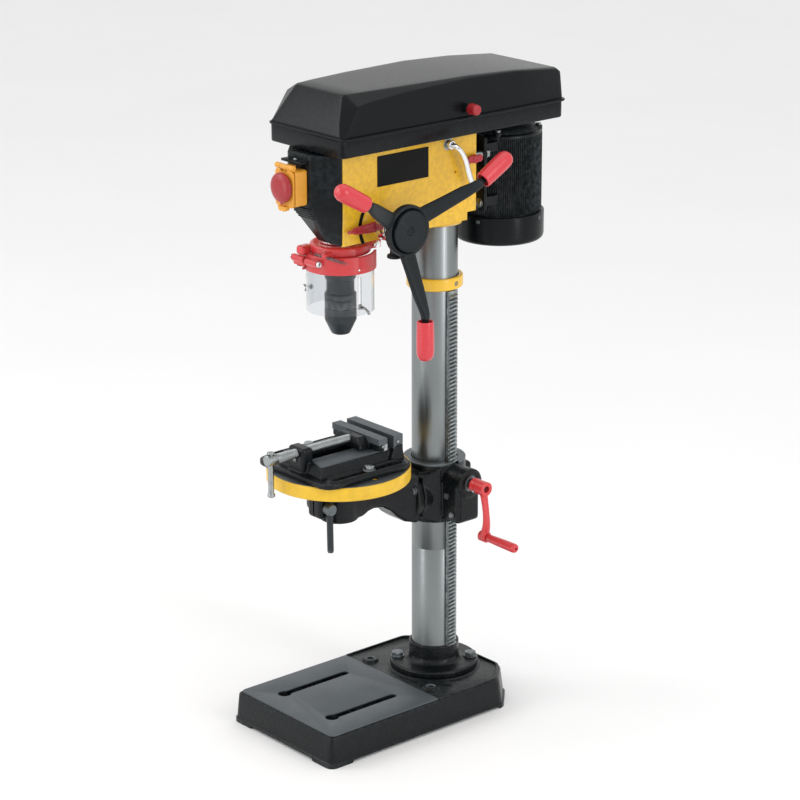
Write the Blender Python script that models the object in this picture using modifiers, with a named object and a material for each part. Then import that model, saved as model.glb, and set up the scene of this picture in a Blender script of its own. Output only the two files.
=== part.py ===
"""Bench drill press: a cast base and column, a crank-lifted tilting table with a machine vise,
and a belt-driven head with a quill, a keyless chuck and a chuck guard.

Metres, +Z up. All shapes are drawn about the column's axis, with the press facing -Y and the
feed handles at +X. The parent empty then puts the origin under the middle of the whole press.
"""

import math

import bmesh
import bpy
from mathutils import Matrix, Vector

NAME = "drill_press"
MM = 0.001
GAP = 0.3 * MM  # between touching pieces
ROUND = 28  # sides of a large round shape
SMALL_ROUND = 12  # sides of a small one

# Base and column
BASE_HALF_WIDTH = 120 * MM
BASE_FRONT = -309 * MM
BASE_BACK = 80 * MM
BASE_HEIGHT = 48 * MM
BASE_INSET = 5 * MM
BASE_WALL = 14 * MM
BASE_CHAMFER = 40 * MM
PAD_HEIGHT = 2 * MM
PAD_BACK = -89 * MM
BASE_SLOT_X = 57.5 * MM
BASE_SLOT_FRONT = -266 * MM
BASE_SLOT_BACK = -129 * MM
BASE_HOLE = Vector((72.5, -70, 0)) * MM
COLUMN_RADIUS = 35 * MM
COLUMN_BORE = 31 * MM
COLUMN_TOP = 903 * MM
SLIDE_BORE = 35.6 * MM  # bore that turns or slides on the column
FLANGE_BOTTOM = BASE_HEIGHT + PAD_HEIGHT + GAP
FLANGE_TOP = 60 * MM
BOLT_CIRCLE = 57.5 * MM
BOLT_ANGLES = (49, 139, 229)

# Rack and lift
MODULE = 2 * MM
TOOTH_PITCH = math.pi * MODULE
RACK_WIDTH = 14.6 * MM
RACK_BACK_X = 35.5 * MM
RACK_PITCH_X = 43.5 * MM
RACK_BOTTOM = 91 * MM
RACK_TOP = 668 * MM
GEAR_TEETH = 12
PINION_THINNING = 0.72
LIFT_GEAR = Vector((43.5 + 12, 0, 349)) * MM
CRANK_Z = 372 * MM
CRANK_THROW = 77 * MM

# Table
TILT_Z = 345 * MM
TILT_FACE_Y = -54 * MM
TABLE_Y = -191 * MM
TABLE_TOP = 425.4 * MM
TABLE_RIM = 21.5 * MM
SOCKET_RADIUS = 29 * MM
SOCKET_LOW = 339 * MM
POST_RADIUS = 20 * MM

# Vise
VISE_Y = -193.5 * MM
VISE_HALF = Vector((87, 81.5, 0)) * MM
VISE_PLATE = 8.5 * MM
WAY_TOP = 450 * MM
SCREW_Z = 461 * MM

# Head
HEAD_HALF = 57 * MM
HEAD_FRONT = -226 * MM
HEAD_BACK = 34 * MM
HEAD_LOW = 779 * MM
HEAD_TOP = 914.5 * MM
BOSS_RADIUS = 47.5 * MM
BOSS_LOW = 770 * MM
NOSE_BEND = 833  # millimetres, where the nose cover starts to slant back
NOSE_RIBS = 5
CORNER_CUT_TOP = -208.5  # millimetres from the column's axis, along the slant's direction
CORNER_CUT_LOW = -162
SPINDLE_Y = -184.5 * MM
QUILL_RADIUS = 26 * MM
FEED = Vector((0, -149, 801)) * MM
FEED_ARM_TURNS = (30, 150, 270)
MOTOR_Y = 131 * MM
SLIDE_BAR_X = 46 * MM
SLIDE_BAR_RADIUS = 7 * MM
SLIDE_BAR_Z = 872 * MM

# Belt case
TRAY_LOW = 915 * MM
TRAY_TOP = 940 * MM
TRAY_HALF = 83.2 * MM
TRAY_FRONT = -248 * MM
TRAY_BACK = 185 * MM
LIP_HALF = 88.6 * MM
LID_LOW = 940.3 * MM
LID_HINGE = Vector((-92.5, 0, 939)) * MM
PULLEY_LOW = 922 * MM
PULLEY_STEP = 11.5 * MM
SPINDLE_STEPS = (56 * MM, 50 * MM, 44 * MM, 38 * MM, 32 * MM)
MOTOR_STEPS = (22 * MM, 28 * MM, 34 * MM, 40 * MM, 46 * MM)
BELT_STEP = 2

FINISHES = {
    "yellow_paint": ((0.88, 0.62, 0.13), 0.35, 0.0),
    "black_paint": ((0.02, 0.024, 0.026), 0.4, 0.0),
    "steel": ((0.55, 0.56, 0.56), 0.3, 1.0),
    "machined_iron": ((0.38, 0.39, 0.4), 0.4, 0.9),
    "zinc": ((0.68, 0.69, 0.7), 0.3, 1.0),
    "red_plastic": ((0.62, 0.04, 0.04), 0.35, 0.0),
    "black_plastic": ((0.025, 0.027, 0.03), 0.45, 0.0),
    "yellow_plastic": ((0.9, 0.55, 0.08), 0.4, 0.0),
    "green_plastic": ((0.05, 0.4, 0.12), 0.4, 0.0),
    "clear_plastic": ((0.85, 0.88, 0.9), 0.1, 0.0),
    "rubber": ((0.02, 0.02, 0.02), 0.8, 0.0),
    "aluminium": ((0.7, 0.71, 0.72), 0.35, 1.0),
}

BODIES = {
    "table_swing": ("root", Vector((0, 0, TABLE_TOP))),
    "table_bracket": ("table_swing", Vector((0, 0, TILT_Z))),
    "lift_gear": ("table_bracket", LIFT_GEAR),
    "crank": ("table_bracket", Vector((0, 0, CRANK_Z))),
    "crank_grip": ("crank", Vector((0, 0, CRANK_Z - CRANK_THROW))),
    "column_lock": ("table_bracket", Vector((0, 54 * MM, 350 * MM))),
    "table_arm": ("table_bracket", Vector((0, TILT_FACE_Y, TILT_Z))),
    "table_lock": ("table_arm", Vector((12 * MM, -228 * MM, 368 * MM))),
    "table": ("table_arm", Vector((0, TABLE_Y, TABLE_TOP))),
    "vise_jaw": ("table", Vector((0, -158 * MM, WAY_TOP))),
    "vise_screw": ("vise_jaw", Vector((0, -200 * MM, SCREW_Z))),
    "vise_bar": ("vise_screw", Vector((0, -319.6 * MM, SCREW_Z))),
    "quill": ("root", Vector((0, SPINDLE_Y, HEAD_LOW))),
    "spindle": ("quill", Vector((0, SPINDLE_Y, HEAD_LOW))),
    "chuck_sleeve": ("spindle", Vector((0, SPINDLE_Y, 650 * MM))),
    "guard": ("quill", Vector((0, -241 * MM, 748 * MM))),
    "guard_shield": ("guard", Vector((0, SPINDLE_Y, 700 * MM))),
    "feed": ("root", FEED),
    "depth_stop": ("root", FEED),
    "depth_lock": ("depth_stop", FEED + Vector((81 * MM, 0, 0))),
    "spindle_drive": ("root", Vector((0, SPINDLE_Y, PULLEY_LOW))),
    "motor": ("root", Vector((0, MOTOR_Y, 800 * MM))),
    "motor_drive": ("motor", Vector((0, MOTOR_Y, PULLEY_LOW))),
    "tension_lever": ("root", Vector((57, -24, 900)) * MM),
    "motor_lock": ("root", Vector((57, 22, SLIDE_BAR_Z / MM)) * MM),
    "lid": ("root", LID_HINGE),
    "switch_flap": ("root", Vector((0, -284.5, 896.5)) * MM),
    "stop_button": ("switch_flap", Vector((0, -286, 867)) * MM),
    "start_button": ("root", Vector((0, -280, 851)) * MM),
}


# ---------------------------------------------------------------- scene helpers


def clear_scene():
    for obj in list(bpy.data.objects):
        bpy.data.objects.remove(obj, do_unlink=True)


def make_collection(name):
    found = bpy.data.collections.new(name)
    bpy.context.scene.collection.children.link(found)
    return found


def make_finishes():
    made = {}
    for name, (colour, roughness, metallic) in FINISHES.items():
        finish = bpy.data.materials.new(name)
        finish.use_nodes = True
        shader = finish.node_tree.nodes["Principled BSDF"]
        shader.inputs["Base Color"].default_value = (*colour, 1)
        shader.inputs["Roughness"].default_value = roughness
        shader.inputs["Metallic"].default_value = metallic
        made[name] = finish
    return made


def make_bodies():
    """One empty for each body, on its joint's axis, parented as the joints are."""
    made = {"root": bpy.data.objects.new(NAME + "_origin", None)}
    places = {"root": Vector((0, 0, 0))}
    PARTS.objects.link(made["root"])
    for name, (parent, place) in BODIES.items():
        empty = bpy.data.objects.new(name + "_axis", None)
        PARTS.objects.link(empty)
        empty.parent = made[parent]
        empty.location = place - places[parent]
        made[name] = empty
        places[name] = place
    return made, places


def piece(name, shape, finish, body="root"):
    """Makes a shape a named piece of the press, riding on a body."""
    shape.name = name
    shape.data.name = name
    PARTS.objects.link(shape)
    place = shape.matrix_basis.copy()
    shape.parent = EMPTIES[body]
    shape.matrix_basis = Matrix.Translation(-PLACES[body]) @ place
    shape.data.materials.append(MATERIALS[finish])
    shape.data.shade_smooth()
    shape.data.set_sharp_from_angle(angle=math.radians(35))
    return shape


def combine(target, operation, tools):
    for tool in tools:
        tool.name = f"{operation.lower()}_tool"
        CUTTERS.objects.link(tool)
        tool.parent = EMPTIES["root"]
        tool.hide_render = True
        tool.display_type = "WIRE"
        modifier = target.modifiers.new(operation.lower(), "BOOLEAN")
        modifier.operation = operation
        modifier.object = tool
    return target


def cut(target, *tools):
    return combine(target, "DIFFERENCE", tools)


def join(target, *tools):
    return combine(target, "UNION", tools)


# ---------------------------------------------------------------- shapes


def from_bmesh(shape):
    mesh = bpy.data.meshes.new("shape")
    bmesh.ops.recalc_face_normals(shape, faces=shape.faces)
    shape.to_mesh(mesh)
    shape.free()
    return bpy.data.objects.new("shape", mesh)


def axis_matrix(axis):
    """Turns +Z to the given direction."""
    return Vector(axis).to_track_quat("Z", "Y").to_matrix().to_4x4()


def block(low, high, bevel=0.0, segments=1):
    shape = bmesh.new()
    bmesh.ops.create_cube(shape, size=1)
    low, high = Vector(low), Vector(high)
    bmesh.ops.scale(shape, vec=high - low, verts=shape.verts)
    bmesh.ops.translate(shape, vec=(low + high) / 2, verts=shape.verts)
    made = from_bmesh(shape)
    if bevel:
        rounding = made.modifiers.new("bevel", "BEVEL")
        rounding.width = bevel
        rounding.segments = segments
    return made


def mm_block(low, high, bevel=0.0, segments=1):
    return block(Vector(low) * MM, Vector(high) * MM, bevel * MM, segments)


def rod(start, end, radius, sides=SMALL_ROUND, end_radius=None):
    """A straight round bar, or a cone, from start to end."""
    start, end = Vector(start), Vector(end)
    shape = bmesh.new()
    bmesh.ops.create_cone(
        shape,
        cap_ends=True,
        segments=sides,
        radius1=radius,
        radius2=radius if end_radius is None else end_radius,
        depth=(end - start).length,
    )
    place = Matrix.Translation((start + end) / 2) @ axis_matrix(end - start)
    bmesh.ops.transform(shape, matrix=place, verts=shape.verts)
    return from_bmesh(shape)


def mm_rod(start, end, radius, sides=SMALL_ROUND, end_radius=None):
    end_radius = None if end_radius is None else end_radius * MM
    return rod(Vector(start) * MM, Vector(end) * MM, radius * MM, sides, end_radius)


def turned(profile, centre=(0, 0, 0), axis=(0, 0, 1), steps=ROUND):
    """A turned shape. The profile's (radius, height) points run down its outer side.
    It is closed up the inside unless it starts and ends on the axis."""
    mesh = bpy.data.meshes.new("profile")
    points = [(radius, 0, height) for radius, height in profile]
    count = len(points)
    on_axis = profile[0][0] == 0 and profile[-1][0] == 0
    edges = [(n, n + 1) for n in range(count - 1)]
    if not on_axis:
        edges.append((count - 1, 0))
    mesh.from_pydata(points, edges, [])
    made = bpy.data.objects.new("profile", mesh)
    screw = made.modifiers.new("screw", "SCREW")
    screw.steps = steps
    screw.render_steps = steps
    screw.use_merge_vertices = True
    screw.merge_threshold = 0.00001
    made.matrix_basis = Matrix.Translation(centre) @ axis_matrix(axis)
    return made


def mm_turned(profile, centre=(0, 0, 0), axis=(0, 0, 1), steps=ROUND):
    scaled = [(radius * MM, height * MM) for radius, height in profile]
    return turned(scaled, Vector(centre) * MM, axis, steps)


def arc(centre, radius, start, end, steps):
    """Points on an arc in a plane; angles in degrees."""
    turns = [math.radians(start + (end - start) * n / steps) for n in range(steps + 1)]
    return [(centre[0] + radius * math.cos(a), centre[1] + radius * math.sin(a)) for a in turns]


def plate(outline, low, high, matrix=Matrix.Identity(4)):
    """A flat outline with a thickness, from low to high along Z before the matrix."""
    curve = bpy.data.curves.new("outline", "CURVE")
    curve.dimensions = "2D"
    curve.fill_mode = "BOTH"
    curve.extrude = (high - low) / 2
    spline = curve.splines.new("POLY")
    spline.points.add(len(outline) - 1)
    for point, (x, y) in zip(spline.points, outline):
        point.co = (x, y, 0, 1)
    spline.use_cyclic_u = True
    drawn = bpy.data.objects.new("outline", curve)
    bpy.context.scene.collection.objects.link(drawn)
    bpy.context.view_layer.update()
    graph = bpy.context.evaluated_depsgraph_get()
    mesh = bpy.data.meshes.new_from_object(drawn.evaluated_get(graph))
    bpy.data.objects.remove(drawn, do_unlink=True)
    shape = bmesh.new()
    shape.from_mesh(mesh)
    bpy.data.meshes.remove(mesh)
    bmesh.ops.remove_doubles(shape, verts=shape.verts, dist=0.00001)
    bmesh.ops.translate(shape, vec=(0, 0, (low + high) / 2), verts=shape.verts)
    bmesh.ops.transform(shape, matrix=matrix, verts=shape.verts)
    return from_bmesh(shape)


def loft(sections):
    """A closed solid through sections that have the same number of points."""
    shape = bmesh.new()
    rings = [[shape.verts.new(point) for point in section] for section in sections]
    for ring, following in zip(rings, rings[1:]):
        for n in range(len(ring)):
            after = (n + 1) % len(ring)
            shape.faces.new((ring[n], ring[after], following[after], following[n]))
    shape.faces.new(rings[0])
    shape.faces.new(rings[-1])
    return from_bmesh(shape)


def tube(points, radius, resolution=2):
    """A bent round bar through points."""
    curve = bpy.data.curves.new("bar", "CURVE")
    curve.dimensions = "3D"
    curve.bevel_depth = radius
    curve.bevel_resolution = resolution
    curve.use_fill_caps = True
    spline = curve.splines.new("POLY")
    spline.points.add(len(points) - 1)
    for point, place in zip(spline.points, points):
        point.co = (*place, 1)
    drawn = bpy.data.objects.new("bar", curve)
    bpy.context.scene.collection.objects.link(drawn)
    bpy.context.view_layer.update()
    graph = bpy.context.evaluated_depsgraph_get()
    mesh = bpy.data.meshes.new_from_object(drawn.evaluated_get(graph))
    bpy.data.objects.remove(drawn, do_unlink=True)
    shape = bmesh.new()
    shape.from_mesh(mesh)
    bpy.data.meshes.remove(mesh)
    bmesh.ops.remove_doubles(shape, verts=shape.verts, dist=0.00001)
    return from_bmesh(shape)


def rounded_rectangle(half_x, half_y, radius, centre=(0, 0), steps=4):
    outline = []
    for sign_x, sign_y, start in ((1, 1, 0), (-1, 1, 90), (-1, -1, 180), (1, -1, 270)):
        corner = (centre[0] + sign_x * (half_x - radius), centre[1] + sign_y * (half_y - radius))
        outline += arc(corner, radius, start, start + 90, steps)
    return outline


def slot_outline(centre, half_length, half_width, along_y=True, steps=6):
    """A long hole with round ends."""
    straight = half_length - half_width
    ends = arc((0, straight), half_width, 0, 180, steps) + arc((0, -straight), half_width, 180, 360, steps)
    if not along_y:
        ends = [(-y, x) for x, y in ends]
    return [(centre[0] + x, centre[1] + y) for x, y in ends]


def gear_outline(teeth, module, thinning=0.8):
    """Gear teeth as plain trapezia, a little thin so that they run with backlash."""
    pitch_radius = teeth * module / 2
    step = 2 * math.pi / teeth
    outline = []
    for n in range(teeth):
        for turn, height in ((-0.33, -1.15), (-0.15, 0.85), (0.15, 0.85), (0.33, -1.15)):
            angle = step * (n + turn * thinning)
            radius = pitch_radius + height * module
            outline.append((radius * math.cos(angle), radius * math.sin(angle)))
    return outline


def rack_outline(length, thickness, phase):
    """A rack seen from its side: teeth towards +X on the pitch line x = 0, up the Y axis."""
    outline = [(-thickness, 0), (-1.25 * MODULE, 0)]
    count = int((length - phase) / TOOTH_PITCH)
    for n in range(count):
        middle = phase + (n + 0.5) * TOOTH_PITCH
        for height, across in ((-1.2, -0.32), (0.95, -0.11), (0.95, 0.11), (-1.2, 0.32)):
            outline.append((height * MODULE, middle + across * TOOTH_PITCH))
    outline += [(-1.25 * MODULE, length), (-thickness, length)]
    return outline


def hex_bolt(centre, axis, across, head, shank_radius, shank, washer=0.0):
    """A hex-head bolt whose head sits on centre and whose shank runs against the axis."""
    centre, axis = Vector(centre), Vector(axis).normalized()
    top = rod(centre, centre + axis * head, across / math.sqrt(3), 6)
    shapes = [rod(centre - axis * shank, centre + axis * head / 2, shank_radius, 12)]
    if washer:
        shapes.append(rod(centre, centre + axis * head / 4, washer, SMALL_ROUND))
    return join(top, *shapes)


# ---------------------------------------------------------------- base and column


def base_outline(inset):
    half = BASE_HALF_WIDTH - inset
    front, back = BASE_FRONT + inset, BASE_BACK - inset
    chamfer = BASE_CHAMFER
    outline = arc((-half + 14 * MM, front + 14 * MM), 14 * MM, 180, 270, 4)
    outline += arc((half - 14 * MM, front + 14 * MM), 14 * MM, 270, 360, 4)
    outline += [(half, back - chamfer), (half - chamfer, back)]
    return outline + [(chamfer - half, back), (-half, back - chamfer)]


def at_height(outline, z):
    return [(x, y, z) for x, y in outline]


def keyhole_outline(x):
    narrow, wide = 6.5 * MM, 10.5 * MM
    front, back = BASE_SLOT_FRONT + wide, BASE_SLOT_BACK - narrow
    outline = arc((x, back), narrow, 0, 180, 5)
    return outline + arc((x, front), wide, 128, 412, 8)


def build_base():
    base = loft([at_height(base_outline(0), 0), at_height(base_outline(BASE_INSET), BASE_HEIGHT)])
    pad = block(
        (-BASE_HALF_WIDTH + 9 * MM, BASE_FRONT + 10 * MM, BASE_HEIGHT - 5 * MM),
        (BASE_HALF_WIDTH - 9 * MM, PAD_BACK, BASE_HEIGHT + PAD_HEIGHT),
    )
    ring = rod((0, 0, BASE_HEIGHT - 4 * MM), (0, 0, BASE_HEIGHT + PAD_HEIGHT), 73 * MM, ROUND)
    join(base, pad, ring)
    for side in (-1, 1):
        x, y = side * BASE_HOLE.x, BASE_HOLE.y
        join(base, rod((x, y, BASE_HEIGHT - 4 * MM), (x, y, BASE_HEIGHT + 4 * MM), 13 * MM))
    pocket_top = BASE_HEIGHT - 12 * MM
    pocket = loft(
        [
            at_height(base_outline(BASE_WALL), -10 * MM),
            at_height(base_outline(BASE_WALL + BASE_INSET), pocket_top),
        ]
    )
    relief = [
        mm_block((-200, -265, -1), (200, 30, 5)),
        mm_block((-76, -400, -1), (76, 200, 5)),
    ]
    cut(base, pocket, *relief)
    for side in (-1, 1):
        cut(base, plate(keyhole_outline(side * BASE_SLOT_X), 0, 100 * MM))
        cut(base, mm_rod((side * 72.5, -70, 0), (side * 72.5, -70, 80), 5.5))
    piece("base", base, "black_paint")


def build_column():
    flange = mm_turned(
        [
            (35.3, 90.5), (37.5, 90.5), (39, 89), (39, 68), (41, 63), (46, 60.2), (67, 60),
            (69, 58), (69, 50.3), (35.3, 50.3),
        ]
    )
    for angle in BOLT_ANGLES:
        x, y = BOLT_CIRCLE * math.cos(math.radians(angle)), BOLT_CIRCLE * math.sin(math.radians(angle))
        cut(flange, rod((x, y, 45 * MM), (x, y, 70 * MM), 5.3 * MM, 12))
    piece("column_flange", flange, "black_paint")
    for number, angle in enumerate(BOLT_ANGLES, 1):
        x, y = BOLT_CIRCLE * math.cos(math.radians(angle)), BOLT_CIRCLE * math.sin(math.radians(angle))
        bolt = hex_bolt((x, y, FLANGE_TOP + GAP), (0, 0, 1), 17 * MM, 7 * MM, 4.9 * MM, 9.5 * MM, 11 * MM)
        piece(f"flange_bolt_{number}", bolt, "black_paint")
    tube_profile = [
        (COLUMN_RADIUS, COLUMN_TOP), (COLUMN_RADIUS, FLANGE_BOTTOM),
        (COLUMN_BORE, FLANGE_BOTTOM), (COLUMN_BORE, COLUMN_TOP),
    ]
    piece("column", turned(tube_profile), "steel")
    collar = mm_turned([(35.3, 688), (42, 688), (43.2, 686.8), (43.2, 671), (41.5, 668.9), (35.3, 668.9)])
    piece("rack_collar", collar, "yellow_paint")


def build_rack():
    outline = rack_outline(RACK_TOP - RACK_BOTTOM, RACK_PITCH_X - RACK_BACK_X, rack_phase())
    sides = [
        [(RACK_PITCH_X + x, y, RACK_BOTTOM + z) for x, z in outline] for y in (-RACK_WIDTH / 2, RACK_WIDTH / 2)
    ]
    piece("column_rack", loft(sides), "steel", "table_swing")


def rack_phase():
    """Puts a tooth gap of the rack level with the lift gear's axis."""
    return (LIFT_GEAR.z - RACK_BOTTOM) % TOOTH_PITCH


# ---------------------------------------------------------------- table lift


def build_bracket():
    bracket = mm_rod((0, 0, 301), (0, 0, 397), 48.6, ROUND)
    housing = mm_block((20, -24, 308), (82, 22, 372), 4)
    worm_boss = mm_rod((30, 0, 372), (86, 0, 372), 23, 24)
    tilt_neck = loft(
        [
            [(x * MM, -30 * MM, z * MM) for x, z in ((-44, 303), (44, 303), (44, 392), (-44, 392))],
            [(x * MM, TILT_FACE_Y, z * MM) for x, z in ((-33, 312), (33, 312), (33, 380), (-33, 380))],
        ]
    )
    tilt_disc = rod((0, -42 * MM, TILT_Z), (0, TILT_FACE_Y, TILT_Z), 41 * MM, ROUND)
    clamp_ears = mm_block((-19, 36, 322), (19, 64, 378), 3)
    join(bracket, housing, worm_boss, tilt_neck, tilt_disc, clamp_ears)
    cut(
        bracket,
        rod((0, 0, 280 * MM), (0, 0, 420 * MM), SLIDE_BORE, ROUND),
        mm_block((20, -8, 280), (49, 8, 420)),
        mm_block((40, -9, 325), (72, 9, 372.5)),
        mm_rod((46, 0, 372), (71, 0, 372), 12),
        mm_rod((46, 0, 372), (100, 0, 372), 6.4),
        mm_rod((55.5, -30, 349), (55.5, 30, 349), 5.4),
        mm_block((-1.5, 30, 280), (1.5, 80, 420)),
        mm_rod((-40, 54, 350), (40, 54, 350), 5.6),
    )
    piece("table_bracket", bracket, "black_paint", "table_bracket")
    tooth_turn = Matrix.Rotation(math.radians(180), 4, "Z")
    place = Matrix.Translation(LIFT_GEAR) @ Matrix.Rotation(math.radians(90), 4, "X") @ tooth_turn
    gear = plate(gear_outline(GEAR_TEETH, MODULE), -7 * MM, 7 * MM, place)
    join(gear, mm_rod((55.5, -24, 349), (55.5, 22, 349), 5))
    piece("lift_gear", gear, "steel", "lift_gear")


def build_crank():
    shaft = mm_rod((51, 0, 372), (106, 0, 372), 6)
    join(shaft, mm_rod((50, 0, 372), (69, 0, 372), 8))
    piece("crank_shaft", shaft, "steel", "crank")
    hub = mm_rod((92, 0, 372), (121, 0, 372), 11.5, 20)
    arm = loft(
        [
            [(x * MM, y * MM, z * MM) for x, y in ((a - 6, -w), (a + 5, -w), (a + 5, w), (a - 6, w))]
            for a, w, z in ((114, 8.5, 372), (115, 7.5, 350), (119, 6.2, 325), (120, 6.2, 310), (117, 7.2, 295))
        ]
    )
    end = mm_rod((108, 0, 295), (124, 0, 295), 8.6, SMALL_ROUND)
    join(hub, arm, end)
    cut(hub, mm_rod((91, 0, 372), (106.5, 0, 372), 6.3), mm_rod((108.5, 0, 372), (130, 0, 372), 5, 12))
    cut(hub, mm_rod((100, 0, 295), (130, 0, 295), 4.3, 12))
    piece("crank_arm", hub, "red_plastic", "crank")
    profile = [(0, 187), (5.5, 187), (7.2, 184.5), (7.2, 162), (6.2, 135), (6, 125), (0, 125)]
    grip = mm_turned(profile, (0, 0, 295), (1, 0, 0), 20)
    join(grip, mm_rod((107, 0, 295), (130, 0, 295), 4, 12))
    piece("crank_grip", grip, "red_plastic", "crank_grip")


def build_column_lock():
    lever = mm_rod((-60, 54, 350), (30, 54, 350), 5)
    join(
        lever,
        mm_rod((-32, 54, 350), (-20.3, 54, 350), 10),
        mm_rod((-56.5, 54, 350), (-44.5, 54, 350), 9, 10),
        mm_rod((-50.5, 56, 345), (-50.5, 78, 290), 4.3, 10),
        mm_rod((-50.5, 75, 297), (-50.5, 84, 274.5), 8, 12, 6),
    )
    piece("column_lock_lever", lever, "black_plastic", "column_lock")


# ---------------------------------------------------------------- table


def build_arm():
    flange = rod((0, TILT_FACE_Y - GAP, TILT_Z), (0, TILT_FACE_Y - 12 * MM, TILT_Z), 41 * MM, ROUND)
    sections = []
    for y, half, low, high in ((-60, 31, 307, 386), (-80, 27, 311, 396), (-104, 24, 322, 401),
                               (-128, 23, 329, 402), (-165, 24, 329, 402), (-190, 26, 332, 402)):
        sections.append([(x * MM, y * MM, z * MM) for x, z in
                         ((-half, low), (half, low), (half, high), (-half, high))])
    socket = rod((0, TABLE_Y, SOCKET_LOW), (0, TABLE_Y, 402 * MM), SOCKET_RADIUS, ROUND)
    ears = mm_block((-16, -240, 350), (16, -214, 394), 4)
    join(flange, loft(sections), socket, ears)
    cut(
        flange,
        rod((0, TABLE_Y, 300 * MM), (0, TABLE_Y, 420 * MM), POST_RADIUS + 0.5 * MM, ROUND),
        mm_block((-1.5, -260, 300), (1.5, -205, 420)),
        mm_rod((-30, -228, 368), (30, -228, 368), 5.5),
        mm_rod((0, -40, 345), (0, -90, 345), 6.3),
        mm_block((-200, -100, 300), (200, -76, 318)),
    )
    piece("table_arm", flange, "black_paint", "table_arm")
    lever = mm_rod((-24, -228, 368), (24, -228, 368), 5)
    join(lever, mm_rod((16.4, -228, 368), (30, -228, 368), 9),
         mm_rod((23.5, -228, 372), (27, -230, 300), 5))
    piece("table_lock_lever", lever, "black_plastic", "table_lock")


def build_table():
    top, rim_low = TABLE_TOP / MM, (TABLE_TOP - TABLE_RIM) / MM
    table = mm_turned(
        [
            (0, top), (106.5, top), (108.5, top - 2), (108.5, rim_low), (101, rim_low),
            (101, top - 11), (26, top - 11), (24, 404), (20, 402.4), (20, 345), (0, 345),
        ],
        (0, TABLE_Y / MM, 0),
        steps=40,
    )
    for angle in (0, 90, 180, 270):
        turn = Matrix.Translation((0, TABLE_Y, 0)) @ Matrix.Rotation(math.radians(angle), 4, "Z")
        hole = plate(slot_outline((66 * MM, 0), 26 * MM, 6 * MM, along_y=False), 405 * MM, 440 * MM, turn)
        cut(table, hole)
    cut(table, mm_rod((0, TABLE_Y / MM, 330), (0, TABLE_Y / MM, 440), 8))
    piece("table", table, "machined_iron", "table")


def build_vise():
    low = TABLE_TOP + GAP
    plate_top = low + VISE_PLATE
    outline = rounded_rectangle(VISE_HALF.x, VISE_HALF.y, 24 * MM, (0, VISE_Y), 4)
    body = plate(outline, low, plate_top)
    join(
        body,
        mm_block((-47, -262, 430), (47, -113, 450), 2),
        mm_block((-18, -274, 430), (18, -252, 471), 3),
        mm_block((-55, -129, 430), (55, -111, 470), 1.5),
        mm_block((-60, -145, 430), (60, -111, 440), 1.5),
    )
    for side in (-1, 1):
        cut(body, plate(slot_outline((side * 71 * MM, VISE_Y), 62 * MM, 5.5 * MM), 400 * MM, 460 * MM))
    cut(
        body,
        mm_block((-12, -250, 437), (12, -129.4, 460)),
        mm_rod((0, -300, 461), (0, -240, 461), 8),
    )
    piece("vise_body", body, "black_paint", "table")
    for side in (-1, 1):
        bolt = hex_bolt((side * 71 * MM, TABLE_Y, plate_top + GAP), (0, 0, 1), 13 * MM, 6.5 * MM,
                        4 * MM, 28 * MM, 9 * MM)
        name = "left" if side < 0 else "right"
        piece(f"vise_bolt_{name}", bolt, "zinc", "table")
    jaw = mm_block((-55, -158, 450.3), (55, -141.4, 470), 1.5)
    nut = mm_block((-30, -176, 450.3), (30, -157, 469), 3)
    join(jaw, nut, mm_block((-11.5, -172, 438), (11.5, -146, 455)))
    cut(jaw, mm_rod((0, -180, 461), (0, -164, 461), 8))
    piece("movable_jaw", jaw, "black_paint", "vise_jaw")
    screw = mm_rod((0, -314, 461), (0, -164.6, 461), 7.5, 20)
    join(screw, mm_rod((0, -328, 461), (0, -308, 461), 8.4, 20))
    cut(screw, mm_rod((0, -319.6, 440), (0, -319.6, 480), 4.8, 12))
    piece("vise_screw", screw, "zinc", "vise_screw")
    bar = mm_rod((0, -319.6, 404), (0, -319.6, 471), 4.3, 12)
    join(
        bar,
        mm_rod((0, -319.6, 403.5), (0, -319.6, 408.5), 5.8, 12),
        mm_rod((0, -319.6, 470), (0, -319.6, 473.5), 5.8, 12),
    )
    piece("vise_bar", bar, "zinc", "vise_bar")


# ---------------------------------------------------------------- head


def corner_cutter():
    """Takes the head's lower front corner off on a slant, on the side away from the handles.
    The outline is (distance towards the handles and the back, height), in millimetres."""
    outline = ((-300, NOSE_BEND), (CORNER_CUT_TOP, NOSE_BEND), (CORNER_CUT_LOW, 769), (CORNER_CUT_LOW, 700), (-300, 700))
    along, across = Vector((0.652, 0.758, 0)).normalized(), Vector((-0.758, 0.652, 0)).normalized()
    ends = []
    for side in (-200, 200):
        ends.append([(along * reach + across * side + Vector((0, 0, z))) * MM for reach, z in outline])
    return loft(ends)


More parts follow.
